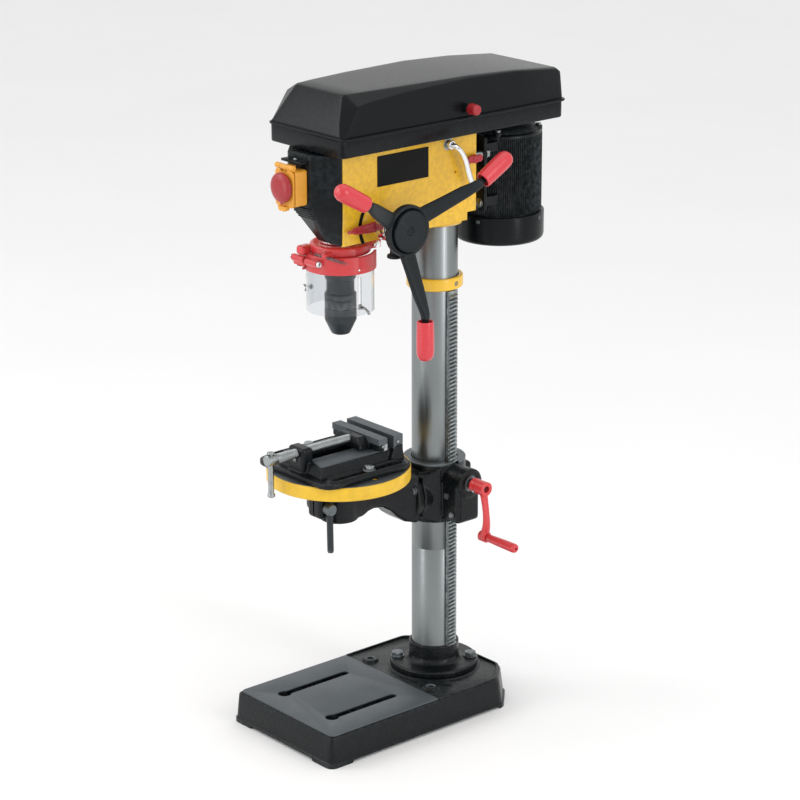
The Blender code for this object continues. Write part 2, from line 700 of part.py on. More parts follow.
def build_head():
    head = block((-HEAD_HALF, HEAD_FRONT, HEAD_LOW), (HEAD_HALF, HEAD_BACK, HEAD_TOP))
    boss = rod((0, 0, BOSS_LOW), (0, 0, 850 * MM), BOSS_RADIUS, ROUND)
    feed_boss = rod(FEED + Vector((-63 * MM, 0, 0)), FEED + Vector((62 * MM, 0, 0)), 22 * MM, 24)
    join(head, boss, feed_boss)
    cut(
        head,
        mm_block((-50, -112, 770), (50, -50, 868)),
        mm_block((-70, 14, 760), (70, 60, 791)),
        rod((0, 0, 700 * MM), (0, 0, COLUMN_TOP + GAP), COLUMN_RADIUS + GAP, ROUND),
        rod((0, SPINDLE_Y, 700 * MM), (0, SPINDLE_Y, 1000 * MM), QUILL_RADIUS + 0.4 * MM, ROUND),
        rod(FEED - Vector((80 * MM, 0, 0)), FEED + Vector((80 * MM, 0, 0)), 8.4 * MM),
        rod(FEED - Vector((12 * MM, 0, 0)), FEED + Vector((12 * MM, 0, 0)), 15 * MM),
    )
    cut(head, corner_cutter())
    for side in (-1, 1):
        start = Vector((side * SLIDE_BAR_X, -25 * MM, SLIDE_BAR_Z))
        cut(head, rod(start, start + Vector((0, 80 * MM, 0)), SLIDE_BAR_RADIUS + 0.4 * MM))
    cut(head, mm_rod((44, 22, SLIDE_BAR_Z / MM), (70, 22, SLIDE_BAR_Z / MM), 4.4, 12))
    cut(head, mm_rod((30, -24, 900), (70, -24, 900), 5.4, 12))
    piece("head_casting", head, "yellow_paint")


def nose_front(z):
    """Where the nose cover's front stands at a height: upright above, slanted back below."""
    return -261 + max(0, NOSE_BEND - z) * 31 / 53


def build_nose():
    back = HEAD_FRONT / MM - 0.4
    sections = []
    for z, half in ((903, 25), (NOSE_BEND, 25), (780, 20)):
        corner = 57 if z > 800 else 55
        outline = [
            (-half, nose_front(z)), (half, nose_front(z)), (corner, back - 2),
            (corner, back), (-corner, back), (-corner, back - 2),
        ]
        sections.append([(x * MM, y * MM, z * MM) for x, y in outline])
    nose = loft(sections)
    for n in range(NOSE_RIBS):
        z = 817 + 4 * n
        join(nose, mm_block((-24, nose_front(z) - 1.5, z), (24, -240, z + 1.6)))
    cut(nose, corner_cutter())
    piece("nose_cover", nose, "black_paint")


def build_switch():
    box = mm_block((-20, -282.6, 839), (20, -261.4, 892), 1.5)
    join(
        box,
        mm_block((-7.5, -284, 887), (7.5, -271, 898), 1),
        mm_rod((-7.6, -284.5, 896.5), (7.6, -284.5, 896.5), 3.8),
    )
    cut(box, mm_rod((0, -290, 851), (0, -272.4, 851), 7.4))
    piece("switch_box", box, "yellow_plastic")
    piece("start_button", mm_rod((0, -283, 851), (0, -275, 851), 7), "green_plastic", "start_button")
    flap = mm_block((-20, -287, 838), (20, -284, 893), 1)
    join(
        flap,
        mm_rod((-19.5, -284.5, 896.5), (-8, -284.5, 896.5), 4),
        mm_rod((8, -284.5, 896.5), (19.5, -284.5, 896.5), 4),
        mm_block((-9, -292, 832), (9, -284.2, 839.5), 1),
    )
    cut(flap, mm_rod((0, -298, 867), (0, -278, 867), 9.4), mm_block((-8, -293, 890), (8, -278, 905)))
    piece("switch_flap", flap, "yellow_plastic", "switch_flap")
    stop = mm_turned(
        [(0, 13), (9, 12.8), (16, 11.6), (20.5, 9), (22, 7), (22, 3.2), (9, 3.2), (9, -1.5), (0, -1.5)],
        (0, -287, 867), (0, -1, 0), 24,
    )
    piece("stop_button", stop, "red_plastic", "stop_button")


def build_quill():
    outer, bore = QUILL_RADIUS / MM, 9.5
    quill = mm_turned(
        [(bore, 905), (outer, 905), (outer, 770), (28, 769), (28, 757), (24, 755), (24, 745), (bore, 745)],
        (0, SPINDLE_Y / MM, 0),
    )
    rack_step = TOOTH_PITCH / MM
    for n in range(-1, 12):
        z = FEED.z / MM + n * rack_step
        notch = [(-164, z - 1.5), (-150, z - 6.1), (-150, z + 6.1), (-164, z + 1.5)]
        cut(quill, loft([[(x * MM, y * MM, height * MM) for y, height in notch] for x in (-12, 12)]))
    piece("quill", quill, "steel", "quill")
    ring = mm_turned([(28.4, 770), (43, 770), (45, 768), (45, 758), (28.4, 758)], (0, SPINDLE_Y / MM, 0))
    join(
        ring,
        mm_block((14, -150, 758), (30, -132, 770), 1),
        mm_block((-32, -246, 752), (-12, -224, 766), 1),
        mm_block((20, -246, 752), (30, -222, 766), 1),
    )
    cut(ring, mm_rod((-60, -241, 748), (60, -241, 748), 6, 12), mm_block((20.5, -160, 750), (23, -120, 780)))
    piece("guard_clamp_ring", ring, "red_plastic", "quill")


def build_guard():
    centre = (0, SPINDLE_Y / MM)
    outer = arc(centre, 53.5, -230, 50, 28)
    inner = arc(centre, 51, 50, -230, 28)
    band = plate([(x * MM, y * MM) for x, y in outer + inner], 731 * MM, 757 * MM)
    join(band, mm_rod((-38, -241, 748), (18, -241, 748), 5, 12), mm_block((-38, -243, 740), (18, -232, 750)))
    cut(band, mm_block((-11, -250, 750), (-60, -150, 775)), mm_block((19, -250, 750), (32, -225, 775)))
    piece("guard_ring", band, "red_plastic", "guard")
    outer = arc(centre, 50.6, -230, 50, 28)
    inner = arc(centre, 48.8, 50, -230, 28)
    shield = plate([(x * MM, y * MM) for x, y in outer + inner], 668 * MM, 739.5 * MM)
    piece("guard_shield", shield, "clear_plastic", "guard_shield")


def build_spindle():
    spindle = mm_turned(
        [
            (0, 984), (7.5, 984), (7.5, 912), (9, 911), (9, 742), (16, 741),
            (16, 735), (10, 733), (10, 705), (0, 703),
        ],
        (0, SPINDLE_Y / MM, 0), steps=24,
    )
    piece("spindle", spindle, "steel", "spindle")
    body = mm_turned(
        [
            (10.4, 727), (19, 727), (23.5, 724), (23.5, 710), (21.5, 708),
            (21.5, 693), (23.7, 691), (23.7, 671), (22, 670.3), (10.4, 670.3),
        ],
        (0, SPINDLE_Y / MM, 0), steps=24,
    )
    piece("chuck_body", body, "black_paint", "spindle")
    sleeve = mm_turned([(11, 670), (23.7, 670), (23.7, 650), (15, 634), (9, 629), (7.5, 629), (11, 640)],
                       (0, SPINDLE_Y / MM, 0), steps=24)
    piece("chuck_sleeve", sleeve, "black_paint", "chuck_sleeve")


def build_feed():
    place = Matrix.Translation(FEED) @ axis_matrix((1, 0, 0))
    teeth = plate(gear_outline(GEAR_TEETH, MODULE, PINION_THINNING), -10 * MM, 10 * MM, place)
    shaft = join(teeth, rod(FEED - Vector((66 * MM, 0, 0)), FEED + Vector((112 * MM, 0, 0)), 8 * MM))
    piece("feed_shaft", shaft, "steel", "feed")
    hub = mm_turned([(8.3, 112), (30, 112), (36, 116), (38, 112), (38, 104), (24, 99), (18, 94), (8.3, 94)],
                    FEED / MM, (1, 0, 0), 28)
    for turn in FEED_ARM_TURNS:
        along = feed_arm_direction(turn)
        across = Vector((0, -along.z, along.y))
        sections = []
        for out, reach, wide, thick in ((104, 14, 14, 4.2), (108, 34, 13.5, 5), (137, 98, 10, 6), (149, 121, 7.5, 6.5)):
            middle = FEED + along * reach * MM + Vector((out * MM, 0, 0))
            sections.append([
                middle + across * w * MM + Vector((t * MM, 0, 0))
                for w, t in ((-wide, -thick), (wide, -thick), (wide, thick), (-wide, thick))
            ])
        spigot = rod(FEED + along * 112 * MM + Vector((149 * MM, 0, 0)),
                     FEED + along * 175 * MM + Vector((149 * MM, 0, 0)), 5 * MM, 12)
        join(hub, loft(sections), spigot)
    piece("feed_hub", hub, "black_plastic", "feed")
    profile = [(0, 121), (5, 121), (6, 120), (28, 119.4), (31, 117.5), (31, 116.8), (28, 112.5), (0, 112.5)]
    cap = mm_turned(profile, FEED / MM, (1, 0, 0), 28)
    piece("hub_cap", cap, "black_plastic", "feed")
    for number, turn in enumerate(FEED_ARM_TURNS, 1):
        grip = mm_turned(
            [(0, 187), (6, 186), (10.5, 182), (12.8, 174), (13, 150), (12, 127), (5.4, 127), (5.4, 176), (0, 176)],
            (FEED + Vector((149 * MM, 0, 0))) / MM,
            feed_arm_direction(turn),
            20,
        )
        piece(f"feed_grip_{number}", grip, "red_plastic", "feed")


def feed_arm_direction(turn):
    return Vector((0, math.cos(math.radians(turn)), math.sin(math.radians(turn))))


def build_depth_stop():
    profile = [(8.4, 92), (22, 92), (24, 90), (24, 66), (23.4, 65.4), (8.4, 65.4)]
    collar = mm_turned(profile, FEED / MM, (1, 0, 0), 24)
    cut(collar, rod(FEED + Vector((81, 0, -40)) * MM, FEED + Vector((81, 0, -6)) * MM, 4 * MM, 12))
    piece("depth_stop_collar", collar, "zinc", "depth_stop")
    centre = Vector((0, FEED.y, FEED.z))
    outline = arc((0, 0), 21, 22, 338, 18) + [(52, -6), (64, -5), (64, 5), (52, 6)]
    outline = [(x * MM, y * MM) for x, y in outline]
    pointer = plate(outline, 62.5 * MM, 65 * MM, Matrix.Translation(centre) @ pointer_matrix())
    cut(pointer, rod(centre + Vector((50 * MM, 0, 0)), centre + Vector((80 * MM, 0, 0)), 8.5 * MM))
    piece("depth_pointer", pointer, "red_plastic", "depth_stop")
    knob = rod(FEED + Vector((81, 0, -10)) * MM, FEED + Vector((81, 0, -26)) * MM, 3.7 * MM, 12)
    neck = rod(FEED + Vector((81, 0, -24.5)) * MM, FEED + Vector((81, 0, -42)) * MM, 6.5 * MM, 16)
    disc = rod(FEED + Vector((81, 0, -41)) * MM, FEED + Vector((81, 0, -46.5)) * MM, 11 * MM, 20)
    join(knob, neck, disc)
    piece("depth_lock_screw", knob, "black_plastic", "depth_lock")
    outline = [(x * MM, y * MM) for x, y in arc((0, 0), 48, -30, 33, 10) + arc((0, 0), 43, 33, -30, 10)]
    scale = plate(outline, 57.3 * MM, 59.3 * MM, Matrix.Translation(centre) @ pointer_matrix())
    piece("depth_scale", scale, "black_plastic")
    profile = [(8.6, -64), (30, -64), (30, -78), (27, -80), (8.6, -80)]
    spring_cap = mm_turned(profile, FEED / MM, (1, 0, 0), 24)
    piece("return_spring_cap", spring_cap, "black_plastic")


def pointer_matrix():
    """The plate's X runs to the front, its Y up, and its thickness along the feed axis."""
    return Matrix(((0, 0, 1, 0), (-1, 0, 0, 0), (0, 1, 0, 0), (0, 0, 0, 1)))


# ---------------------------------------------------------------- drive


def pulley_profile(steps, bore, low):
    """Grooved steps from the top down, then the bore."""
    points = [(bore, (low + PULLEY_STEP * len(steps)))]
    for n in reversed(range(len(steps))):
        top = low + PULLEY_STEP * (n + 1)
        radius = steps[n]
        points.append((radius, top))
        if n == BELT_STEP:
            points += [(radius - 6.2 * MM, top - 4 * MM), (radius - 6.2 * MM, top - 7.5 * MM)]
        points.append((radius, top - PULLEY_STEP))
    return points + [(bore, low)]


def build_drive():
    front = turned(pulley_profile(SPINDLE_STEPS, 7.8 * MM, PULLEY_LOW), (0, SPINDLE_Y, 0), steps=24)
    piece("spindle_pulley", front, "aluminium", "spindle_drive")
    rear = turned(pulley_profile(MOTOR_STEPS, 7.3 * MM, PULLEY_LOW), (0, MOTOR_Y, 0), steps=24)
    piece("motor_pulley", rear, "aluminium", "motor_drive")
    shaft = mm_rod((0, 131, 893.4), (0, 131, 983), 7)
    piece("motor_shaft", shaft, "steel", "motor_drive")
    middle = PULLEY_LOW + PULLEY_STEP * (BELT_STEP + 0.5)
    loops = []
    for proud in (0.5 * MM, -5.4 * MM):
        front_arc = arc((0, SPINDLE_Y), SPINDLE_STEPS[BELT_STEP] + proud, 180, 360, 14)
        rear_arc = arc((0, MOTOR_Y), MOTOR_STEPS[BELT_STEP] + proud, 0, 180, 14)
        loops.append(front_arc + rear_arc)
    belt = plate(loops[0], middle - 1.4 * MM, middle + 1.4 * MM)
    cut(belt, plate(loops[1], middle - 5 * MM, middle + 5 * MM))
    piece("drive_belt", belt, "rubber")


def build_motor():
    centre = (0, MOTOR_Y / MM, 0)
    body = mm_turned([(0, 907), (30, 906), (52, 901), (62, 892), (64.5, 884), (64.5, 766.4), (0, 766.4)], centre)
    feet = [mm_block((-48, 56, 872), (48, 80, 886))]
    feet += [mm_block((x, 56, 790), (x + 28, 80, 804)) for x in (-48, 20)]
    join(body, *feet, mm_block((-23, 170, 797), (23, 199.5, 881), 2))
    for side in (-1, 1):
        join(body, mm_rod((side * 34, 70, 790), (side * 34, 70, 886), 7))
    cut(body, mm_rod((0, 131, 892.9), (0, 131, 915), 10))
    piece("motor_body", body, "black_paint", "motor")
    profile = [(62, 766), (69, 766), (69, 728), (64, 722.6), (20, 722.6), (20, 725), (62, 727)]
    fan_cover = mm_turned(profile, centre)
    piece("motor_fan_cover", fan_cover, "black_paint", "motor")
    outline = [(-55, 785), (-36, 785), (-36, 853), (36, 853), (36, 785), (55, 785), (55, 900), (-55, 900)]
    outline = [(x * MM, z * MM) for x, z in outline]
    mount = plate(outline, -55.7 * MM, -50 * MM, Matrix.Rotation(math.radians(90), 4, "X"))
    for side in (-1, 1):
        start = Vector((side * SLIDE_BAR_X, 1 * MM, SLIDE_BAR_Z))
        join(mount, rod(start, start + Vector((0, 53 * MM, 0)), SLIDE_BAR_RADIUS))
    piece("motor_mount", mount, "black_paint", "motor")
    path = ((50, -24, 900), (62, -24, 900), (68, -20, 899), (71, -10, 893), (72, -2, 876), (71, 2, 858), (71, 10, 838))
    lever = tube([Vector(point) * MM for point in path], 4 * MM, 3)
    piece("tension_lever", lever, "steel", "tension_lever")
    wing = mm_rod((53.4, 22, SLIDE_BAR_Z / MM), (68, 22, SLIDE_BAR_Z / MM), 4, 12)
    join(wing, mm_rod((60, 22, SLIDE_BAR_Z / MM), (72, 22, SLIDE_BAR_Z / MM), 6.5),
         mm_block((63, 8, SLIDE_BAR_Z / MM - 5), (69, 36, SLIDE_BAR_Z / MM + 5), 2))
    piece("motor_lock_screw", wing, "red_plastic", "motor_lock")


def build_case():
    mid_y = (TRAY_FRONT + TRAY_BACK) / 2
    half_y = (TRAY_BACK - TRAY_FRONT) / 2
    wall = 3 * MM
    tray = plate(rounded_rectangle(TRAY_HALF, half_y, 10 * MM, (0, mid_y)), TRAY_LOW, TRAY_TOP)
    inside_outline = rounded_rectangle(TRAY_HALF - wall, half_y - wall, 7 * MM, (0, mid_y))
    inside = plate(inside_outline, TRAY_LOW + wall, TRAY_TOP + wall)
    cut(tray, inside, rod((0, SPINDLE_Y, 900 * MM), (0, SPINDLE_Y, 930 * MM), 24 * MM, 24))
    cut(tray, plate(slot_outline((0, MOTOR_Y - 4 * MM), 24 * MM, 12 * MM), 900 * MM, 930 * MM))
    for y in (-150, 90):
        hinge = mm_rod((-92.5, y - 20, 939), (-92.5, y + 20, 939), 3, 12)
        join(tray, hinge, mm_block((-91, y - 19, 936.2), (-82, y + 19, 938.4)))
    piece("belt_tray", tray, "black_paint")
    lid = lid_shape(0)
    cut(lid, lid_shape(2.6))
    lip = plate(rounded_rectangle(LIP_HALF, 219 * MM, 10 * MM, (0, -30 * MM)), LID_LOW, LID_LOW + 3.5 * MM)
    hole_outline = rounded_rectangle(TRAY_HALF - 3 * MM, 213 * MM, 7 * MM, (0, -30 * MM))
    lip_hole = plate(hole_outline, LID_LOW - MM, LID_LOW + 5 * MM)
    cut(lip, lip_hole)
    join(lid, lip)
    piece("lid", lid, "black_paint", "lid")
    knob = mm_turned([(0, 106), (6, 106), (8, 104), (8.6, 90), (7.6, 87), (0, 87)], (0, -10, 956), (1, 0, 0), 16)
    piece("lid_knob", knob, "red_plastic", "lid")


def lid_shape(inset):
    """The lid's outer form, or the hollow in it where inset is its wall."""
    sections = []
    for y, foot, shoulder, shoulder_z, top, top_z in (
        (-247, 80, 79.5, 945, 76, 947), (-240, 83.5, 83, 948, 68, 964), (-221, 84, 81, 978, 51.5, 1000),
        (-216, 84, 80, 986.5, 56, 1000.5), (0, 84, 78.5, 999, 75, 1002), (90, 84, 78.5, 996, 73, 998),
        (182, 83, 78, 985, 70, 988),
    ):
        if inset:
            y = min(max(y + (inset * 2 if y < 0 else -inset), -246 + 2 * inset), 182 - inset)
            foot, shoulder, top = foot - inset, shoulder - inset, top - inset
            shoulder_z, top_z = shoulder_z - inset, top_z - inset
        low = LID_LOW / MM + (-2 if inset else 0.5)
        half = [(foot, low), (shoulder, shoulder_z), (top, top_z)]
        ring = half + [(-x, z) for x, z in reversed(half)]
        sections.append([(x * MM, y * MM, z * MM) for x, z in ring])
    return loft(sections)


def centre_on_base():
    """Moves the press so that the origin is under the middle of its box."""
    bpy.context.view_layer.update()
    graph = bpy.context.evaluated_depsgraph_get()
    low, high = Vector((9, 9, 9)), Vector((-9, -9, -9))
    for obj in PARTS.objects:
        if obj.type == "MESH":
            evaluated = obj.evaluated_get(graph)
            for vertex in evaluated.data.vertices:
                place = obj.matrix_world @ vertex.co
                low = Vector(map(min, low, place))
                high = Vector(map(max, high, place))
    middle = (low + high) / 2
    EMPTIES["root"].location = (-middle.x, -middle.y, -low.z)


clear_scene()
PARTS = make_collection(NAME)
CUTTERS = make_collection("cutters")
MATERIALS = make_finishes()
EMPTIES, PLACES = make_bodies()
build_base()
build_column()
build_rack()
build_bracket()
build_crank()
build_column_lock()
build_arm()
build_table()
build_vise()
build_head()
build_nose()
build_switch()
build_quill()
build_guard()
build_spindle()
build_feed()
build_depth_stop()
build_drive()
build_motor()
build_case()
centre_on_base()
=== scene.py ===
"""Looks for the bench drill press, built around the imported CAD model.

Shapes are drawn in millimetres from the column's axis, with the press facing -Y, the feed handles
at +X and the bench at z = 0. place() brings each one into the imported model's frame in metres.
"""

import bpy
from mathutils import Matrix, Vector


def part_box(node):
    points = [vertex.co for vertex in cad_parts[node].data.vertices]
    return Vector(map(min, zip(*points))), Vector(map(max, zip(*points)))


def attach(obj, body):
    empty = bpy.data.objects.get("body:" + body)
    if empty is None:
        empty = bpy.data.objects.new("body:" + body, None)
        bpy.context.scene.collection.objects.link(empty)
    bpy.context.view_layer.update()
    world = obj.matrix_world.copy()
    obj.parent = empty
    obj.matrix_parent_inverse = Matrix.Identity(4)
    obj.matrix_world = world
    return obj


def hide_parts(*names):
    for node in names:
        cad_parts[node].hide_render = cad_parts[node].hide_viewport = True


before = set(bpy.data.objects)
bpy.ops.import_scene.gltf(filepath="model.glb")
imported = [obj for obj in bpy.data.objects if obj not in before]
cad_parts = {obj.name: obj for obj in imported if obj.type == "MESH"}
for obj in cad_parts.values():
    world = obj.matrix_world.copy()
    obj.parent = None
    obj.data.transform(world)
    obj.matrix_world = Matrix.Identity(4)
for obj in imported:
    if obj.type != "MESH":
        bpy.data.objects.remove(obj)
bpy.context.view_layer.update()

import math

import bmesh
import bpy
from mathutils import Matrix, Vector, noise

MM = 0.001
COLUMN_LOW, COLUMN_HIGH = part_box("column")
AXIS = Vector(((COLUMN_LOW.x + COLUMN_HIGH.x) / 2, (COLUMN_LOW.y + COLUMN_HIGH.y) / 2, 0))
UP = (0, 0, 1)
RIGHT = (1, 0, 0)
FRONT = (0, -1, 0)
BACK = (0, 1, 0)
LEFT = (-1, 0, 0)

# Places that more than one piece shares
SPINDLE_Y, MOTOR_Y, TABLE_Y = -184.5, 131, -191
SPINDLE = (0, SPINDLE_Y, 0)
MOTOR = (0, MOTOR_Y, 0)
TABLE = (0, TABLE_Y, 0)
FEED_Y, FEED_Z = -149, 801
FEED = (0, FEED_Y, FEED_Z)
FEED_ARM_TURNS = (30, 150, 270)
FEED_GRIP_X = 149
CRANK = (0, 0, 372)
CRANK_GRIP = (0, 0, 295)
COLUMN_CLAMP = (0, 54, 350)
TABLE_CLAMP = (0, -228, 368)
VISE_SCREW = (0, 0, 461)
GUARD_HINGE = (0, -241, 748)
MOTOR_LOCK = (0, 22, 872)
TENSION_SHAFT = (0, -24, 900)
SWITCH_HINGE_Y, SWITCH_HINGE_Z = -284.5, 896.5
STOP_BUTTON_Z, START_BUTTON_Z = 867, 851
FLANGE_BOLT_TURNS = (49, 139, 229)
FLANGE_BOLT_RADIUS = 57.5
QUARTER_TURNS = (0, 90, 180, 270)
FINE = 96  # sides of a large round shape
MEDIUM = 48
SMALL = 24


# ---------------------------------------------------------------- shapes


def show(mesh):
    made = bpy.data.objects.new("shape", mesh)
    bpy.context.scene.collection.objects.link(made)
    return made


def from_bmesh(shape):
    mesh = bpy.data.meshes.new("shape")
    bmesh.ops.recalc_face_normals(shape, faces=shape.faces)
    shape.to_mesh(mesh)
    shape.free()
    return show(mesh)


def settle(obj):
    """Turns an object's modifiers into plain mesh."""
    bpy.context.view_layer.update()
    graph = bpy.context.evaluated_depsgraph_get()
    mesh = bpy.data.meshes.new_from_object(obj.evaluated_get(graph))
    obj.modifiers.clear()
    obj.data = mesh
    return obj


def combine(target, operation, tools):
    """Joins or cuts at once. The fast solver skips open meshes, which the exact one then takes."""
    for tool in tools:
        for solver in ("MANIFOLD", "EXACT"):
            size = len(target.data.polygons), len(target.data.vertices)
            modifier = target.modifiers.new(operation, "BOOLEAN")
            modifier.operation = operation
            modifier.solver = solver
            modifier.object = tool
            settle(target)
            if (len(target.data.polygons), len(target.data.vertices)) != size:
                break
        bpy.data.objects.remove(tool, do_unlink=True)
    return target


def cut(target, *tools):
    return combine(target, "DIFFERENCE", tools)


def join(target, *tools):
    return combine(target, "UNION", tools)


def keep(target, *tools):
    return combine(target, "INTERSECT", tools)


def rounded(obj, width, segments=3, angle=30):
    """Rounds every edge sharper than the angle."""
    bevel = obj.modifiers.new("round", "BEVEL")
    bevel.width = width
    bevel.segments = segments
    bevel.limit_method = "ANGLE"
    bevel.angle_limit = math.radians(angle)
    bevel.harden_normals = False
    bevel.use_clamp_overlap = True
    return settle(obj)


def cast(obj, size, smoothing, rough=0.0):
    """Gives a joined shape the fillets and the slightly uneven skin of a sand casting."""
    remesh = obj.modifiers.new("skin", "REMESH")
    remesh.mode = "VOXEL"
    remesh.voxel_size = size
    settle(obj)
    smooth = obj.modifiers.new("smooth", "SMOOTH")
    smooth.factor = 0.5
    smooth.iterations = smoothing
    settle(obj)
    if rough:
        normals = [vertex.normal.copy() for vertex in obj.data.vertices]
        for vertex, normal in zip(obj.data.vertices, normals):
            wave = noise.noise(vertex.co * 0.09) + 0.4 * noise.noise(vertex.co * 0.3)
            vertex.co += normal * rough * wave
    return obj


def box(low, high):
    shape = bmesh.new()
    bmesh.ops.create_cube(shape, size=1)
    low, high = Vector(low), Vector(high)
    bmesh.ops.scale(shape, vec=high - low, verts=shape.verts)
    bmesh.ops.translate(shape, vec=(low + high) / 2, verts=shape.verts)
    return from_bmesh(shape)


def axis_matrix(axis):
    """Turns +Z to the given direction."""
    return Vector(axis).to_track_quat("Z", "Y").to_matrix().to_4x4()


def rod(start, end, radius, sides=MEDIUM, end_radius=None):
    start, end = Vector(start), Vector(end)
    shape = bmesh.new()
    bmesh.ops.create_cone(
        shape, cap_ends=True, segments=sides, radius1=radius,
        radius2=radius if end_radius is None else end_radius, depth=(end - start).length
    )
    matrix = Matrix.Translation((start + end) / 2) @ axis_matrix(end - start)
    bmesh.ops.transform(shape, matrix=matrix, verts=shape.verts)
    return from_bmesh(shape)


def rounded_path(points, radius, steps=4, closed=True):
    """A plane outline with its corners rounded; a radius may be given for each point."""
    count = len(points)
    radii = radius if isinstance(radius, (list, tuple)) else [radius] * count
    path = []
    for n, point in enumerate(points):
        here = Vector(point)
        if not closed and n in (0, count - 1) or radii[n] <= 0:
            path.append(here)
            continue
        before, after = Vector(points[n - 1]) - here, Vector(points[(n + 1) % count]) - here
        reach = min(radii[n], before.length * 0.48, after.length * 0.48)
        start, end = here + before.normalized() * reach, here + after.normalized() * reach
        for step in range(steps + 1):
            t = step / steps
            path.append(start * (1 - t) ** 2 + here * 2 * t * (1 - t) + end * t**2)
    return path


def turned(profile, centre=(0, 0, 0), axis=UP, steps=FINE, radius=0.0, ripple=None):
    """A turned shape from (radius, height) points. Its corners are rounded by radius.
    ripple(turn, height, radius) adds to the radius, for knurls and flutes."""
    on_axis = profile[0][0] == 0 and profile[-1][0] == 0
    points = rounded_path(
        profile, radius, 3, closed=not on_axis
    ) if radius else [Vector(p) for p in profile]
    shape = bmesh.new()
    rings = []
    for point in points:
        if point.x < 1e-6:
            rings.append([shape.verts.new((0, 0, point.y))])
            continue
        ring = []
        for n in range(steps):
            turn = 2 * math.pi * n / steps
            reach = point.x + (ripple(turn, point.y, point.x) if ripple else 0)
            ring.append(shape.verts.new((reach * math.cos(turn), reach * math.sin(turn), point.y)))
        rings.append(ring)
    pairs = list(zip(rings, rings[1:]))
    if not on_axis:
        pairs.append((rings[-1], rings[0]))
    for upper, lower in pairs:
        for n in range(steps):
            after = (n + 1) % steps
            corners = [
                upper[n % len(upper)], upper[after % len(upper)], lower[after % len(lower)],
                lower[n % len(lower)]
            ]
            corners = list(dict.fromkeys(corners))
            if len(corners) > 2:
                shape.faces.new(corners)
    matrix = Matrix.Translation(Vector(centre)) @ axis_matrix(axis)
    bmesh.ops.transform(shape, matrix=matrix, verts=shape.verts)
    return from_bmesh(shape)


def slab(outline, low, high, matrix=Matrix()):
    """A flat outline with a thickness, from low to high along Z before the matrix."""
    shape = bmesh.new()
    bottom = [shape.verts.new((p[0], p[1], low)) for p in outline]
    top = [shape.verts.new((p[0], p[1], high)) for p in outline]
    shape.faces.new(bottom[::-1])
    shape.faces.new(top)
    for n in range(len(outline)):
        after = (n + 1) % len(outline)
        shape.faces.new((bottom[n], bottom[after], top[after], top[n]))
    bmesh.ops.transform(shape, matrix=matrix, verts=shape.verts)
    return from_bmesh(shape)


def loft(sections, closed=False):
    """A solid through sections with the same number of points, or a ring of them."""
    shape = bmesh.new()
    rings = [[shape.verts.new(point) for point in section] for section in sections]
    pairs = list(zip(rings, rings[1:] + rings[:1])) if closed else list(zip(rings, rings[1:]))
    for ring, following in pairs:
        for n in range(len(ring)):
            after = (n + 1) % len(ring)
            shape.faces.new((ring[n], ring[after], following[after], following[n]))
    if not closed:
        shape.faces.new(rings[0])
        shape.faces.new(rings[-1])
    return from_bmesh(shape)


def smooth_path(points, steps=8):
    """A Catmull-Rom curve through points."""
    points = [Vector(p) for p in points]
    points = [points[0] * 2 - points[1], *points, points[-1] * 2 - points[-2]]
    path = []
    for a, b, c, d in zip(points, points[1:], points[2:], points[3:]):
        for n in range(steps):
            t = n / steps
            square, cube = t * t, t * t * t
            path.append(
                (
                    b * 2 + (c - a) * t + (a * 2 - b * 5 + c * 4 - d) * square
                    + (b * 3 - a - c * 3 + d) * cube
                ) / 2
            )
    return path + [points[-2]]


def sweep(path, radius, sides=SMALL, flat=1.0, side=None):
    """A bar along a path. radius may be a list, and flat squeezes it across its side direction."""
    path = [Vector(p) for p in path]
    radii = radius if isinstance(radius, (list, tuple)) else [radius] * len(path)
    across = Vector(side) if side else (path[1] - path[0]).orthogonal()
    sections = []
    for n, point in enumerate(path):
        along = (path[min(n + 1, len(path) - 1)] - path[max(n - 1, 0)]).normalized()
        across = (across - along * across.dot(along)).normalized()
        other = along.cross(across)
        sections.append(
            [
                point + across * radii[n] * math.cos(
                    2 * math.pi * k / sides
                ) + other * radii[n] * flat * math.sin(2 * math.pi * k / sides)
                for k in range(sides)
            ]
        )
    return loft(sections)


def arc(centre, radius, start, end, steps):
    turns = [math.radians(start + (end - start) * n / steps) for n in range(steps + 1)]
    return [(centre[0] + radius * math.cos(a), centre[1] + radius * math.sin(a)) for a in turns]


def slot_outline(x, y, half_length, half_width, steps=10):
    straight = half_length - half_width
    return arc((x, y + straight), half_width, 0, 180, steps) + arc(
        (x, y - straight), half_width, 180, 360, steps
    )


def lifted(outline, z):
    return [(p[0], p[1], z) for p in outline]


def hex_shape(centre, axis, across, height):
    """A hex head with its corners turned off."""
    corner = across / math.sqrt(3)
    prism = rod(Vector(centre), Vector(centre) + Vector(axis).normalized() * height, corner, 6)
    dome = turned(
        [
            (0, height), (across * 0.47, height), (corner + 0.4, height - (corner - across * 0.47) * 0.55),
            (corner + 0.4, 0), (0, 0)
        ],
        centre, axis, MEDIUM
    )
    return rounded(keep(prism, dome), 0.25, 1)


def screw_thread(start, axis, length, radius, pitch, depth):
    """A screw's threaded length."""
    sides = 32
    rings = []
    steps = int(length / pitch * 8)
    for n in range(steps + 1):
        along = length * n / steps
        ring = []
        fade = min(1, along / pitch, (length - along) / pitch)
        for k in range(sides):
            phase = (along / pitch - k / sides) % 1
            crest = min(1, max(0, abs(phase - 0.5) * 4 - 0.5))
            reach = radius - depth * (1 - crest) * fade - 0.6 * (1 - fade)
            turn = 2 * math.pi * k / sides
            ring.append((reach * math.cos(turn), reach * math.sin(turn), along))
        rings.append(ring)
    made = loft(rings)
    made.data.transform(Matrix.Translation(Vector(start)) @ axis_matrix(axis))
    return made


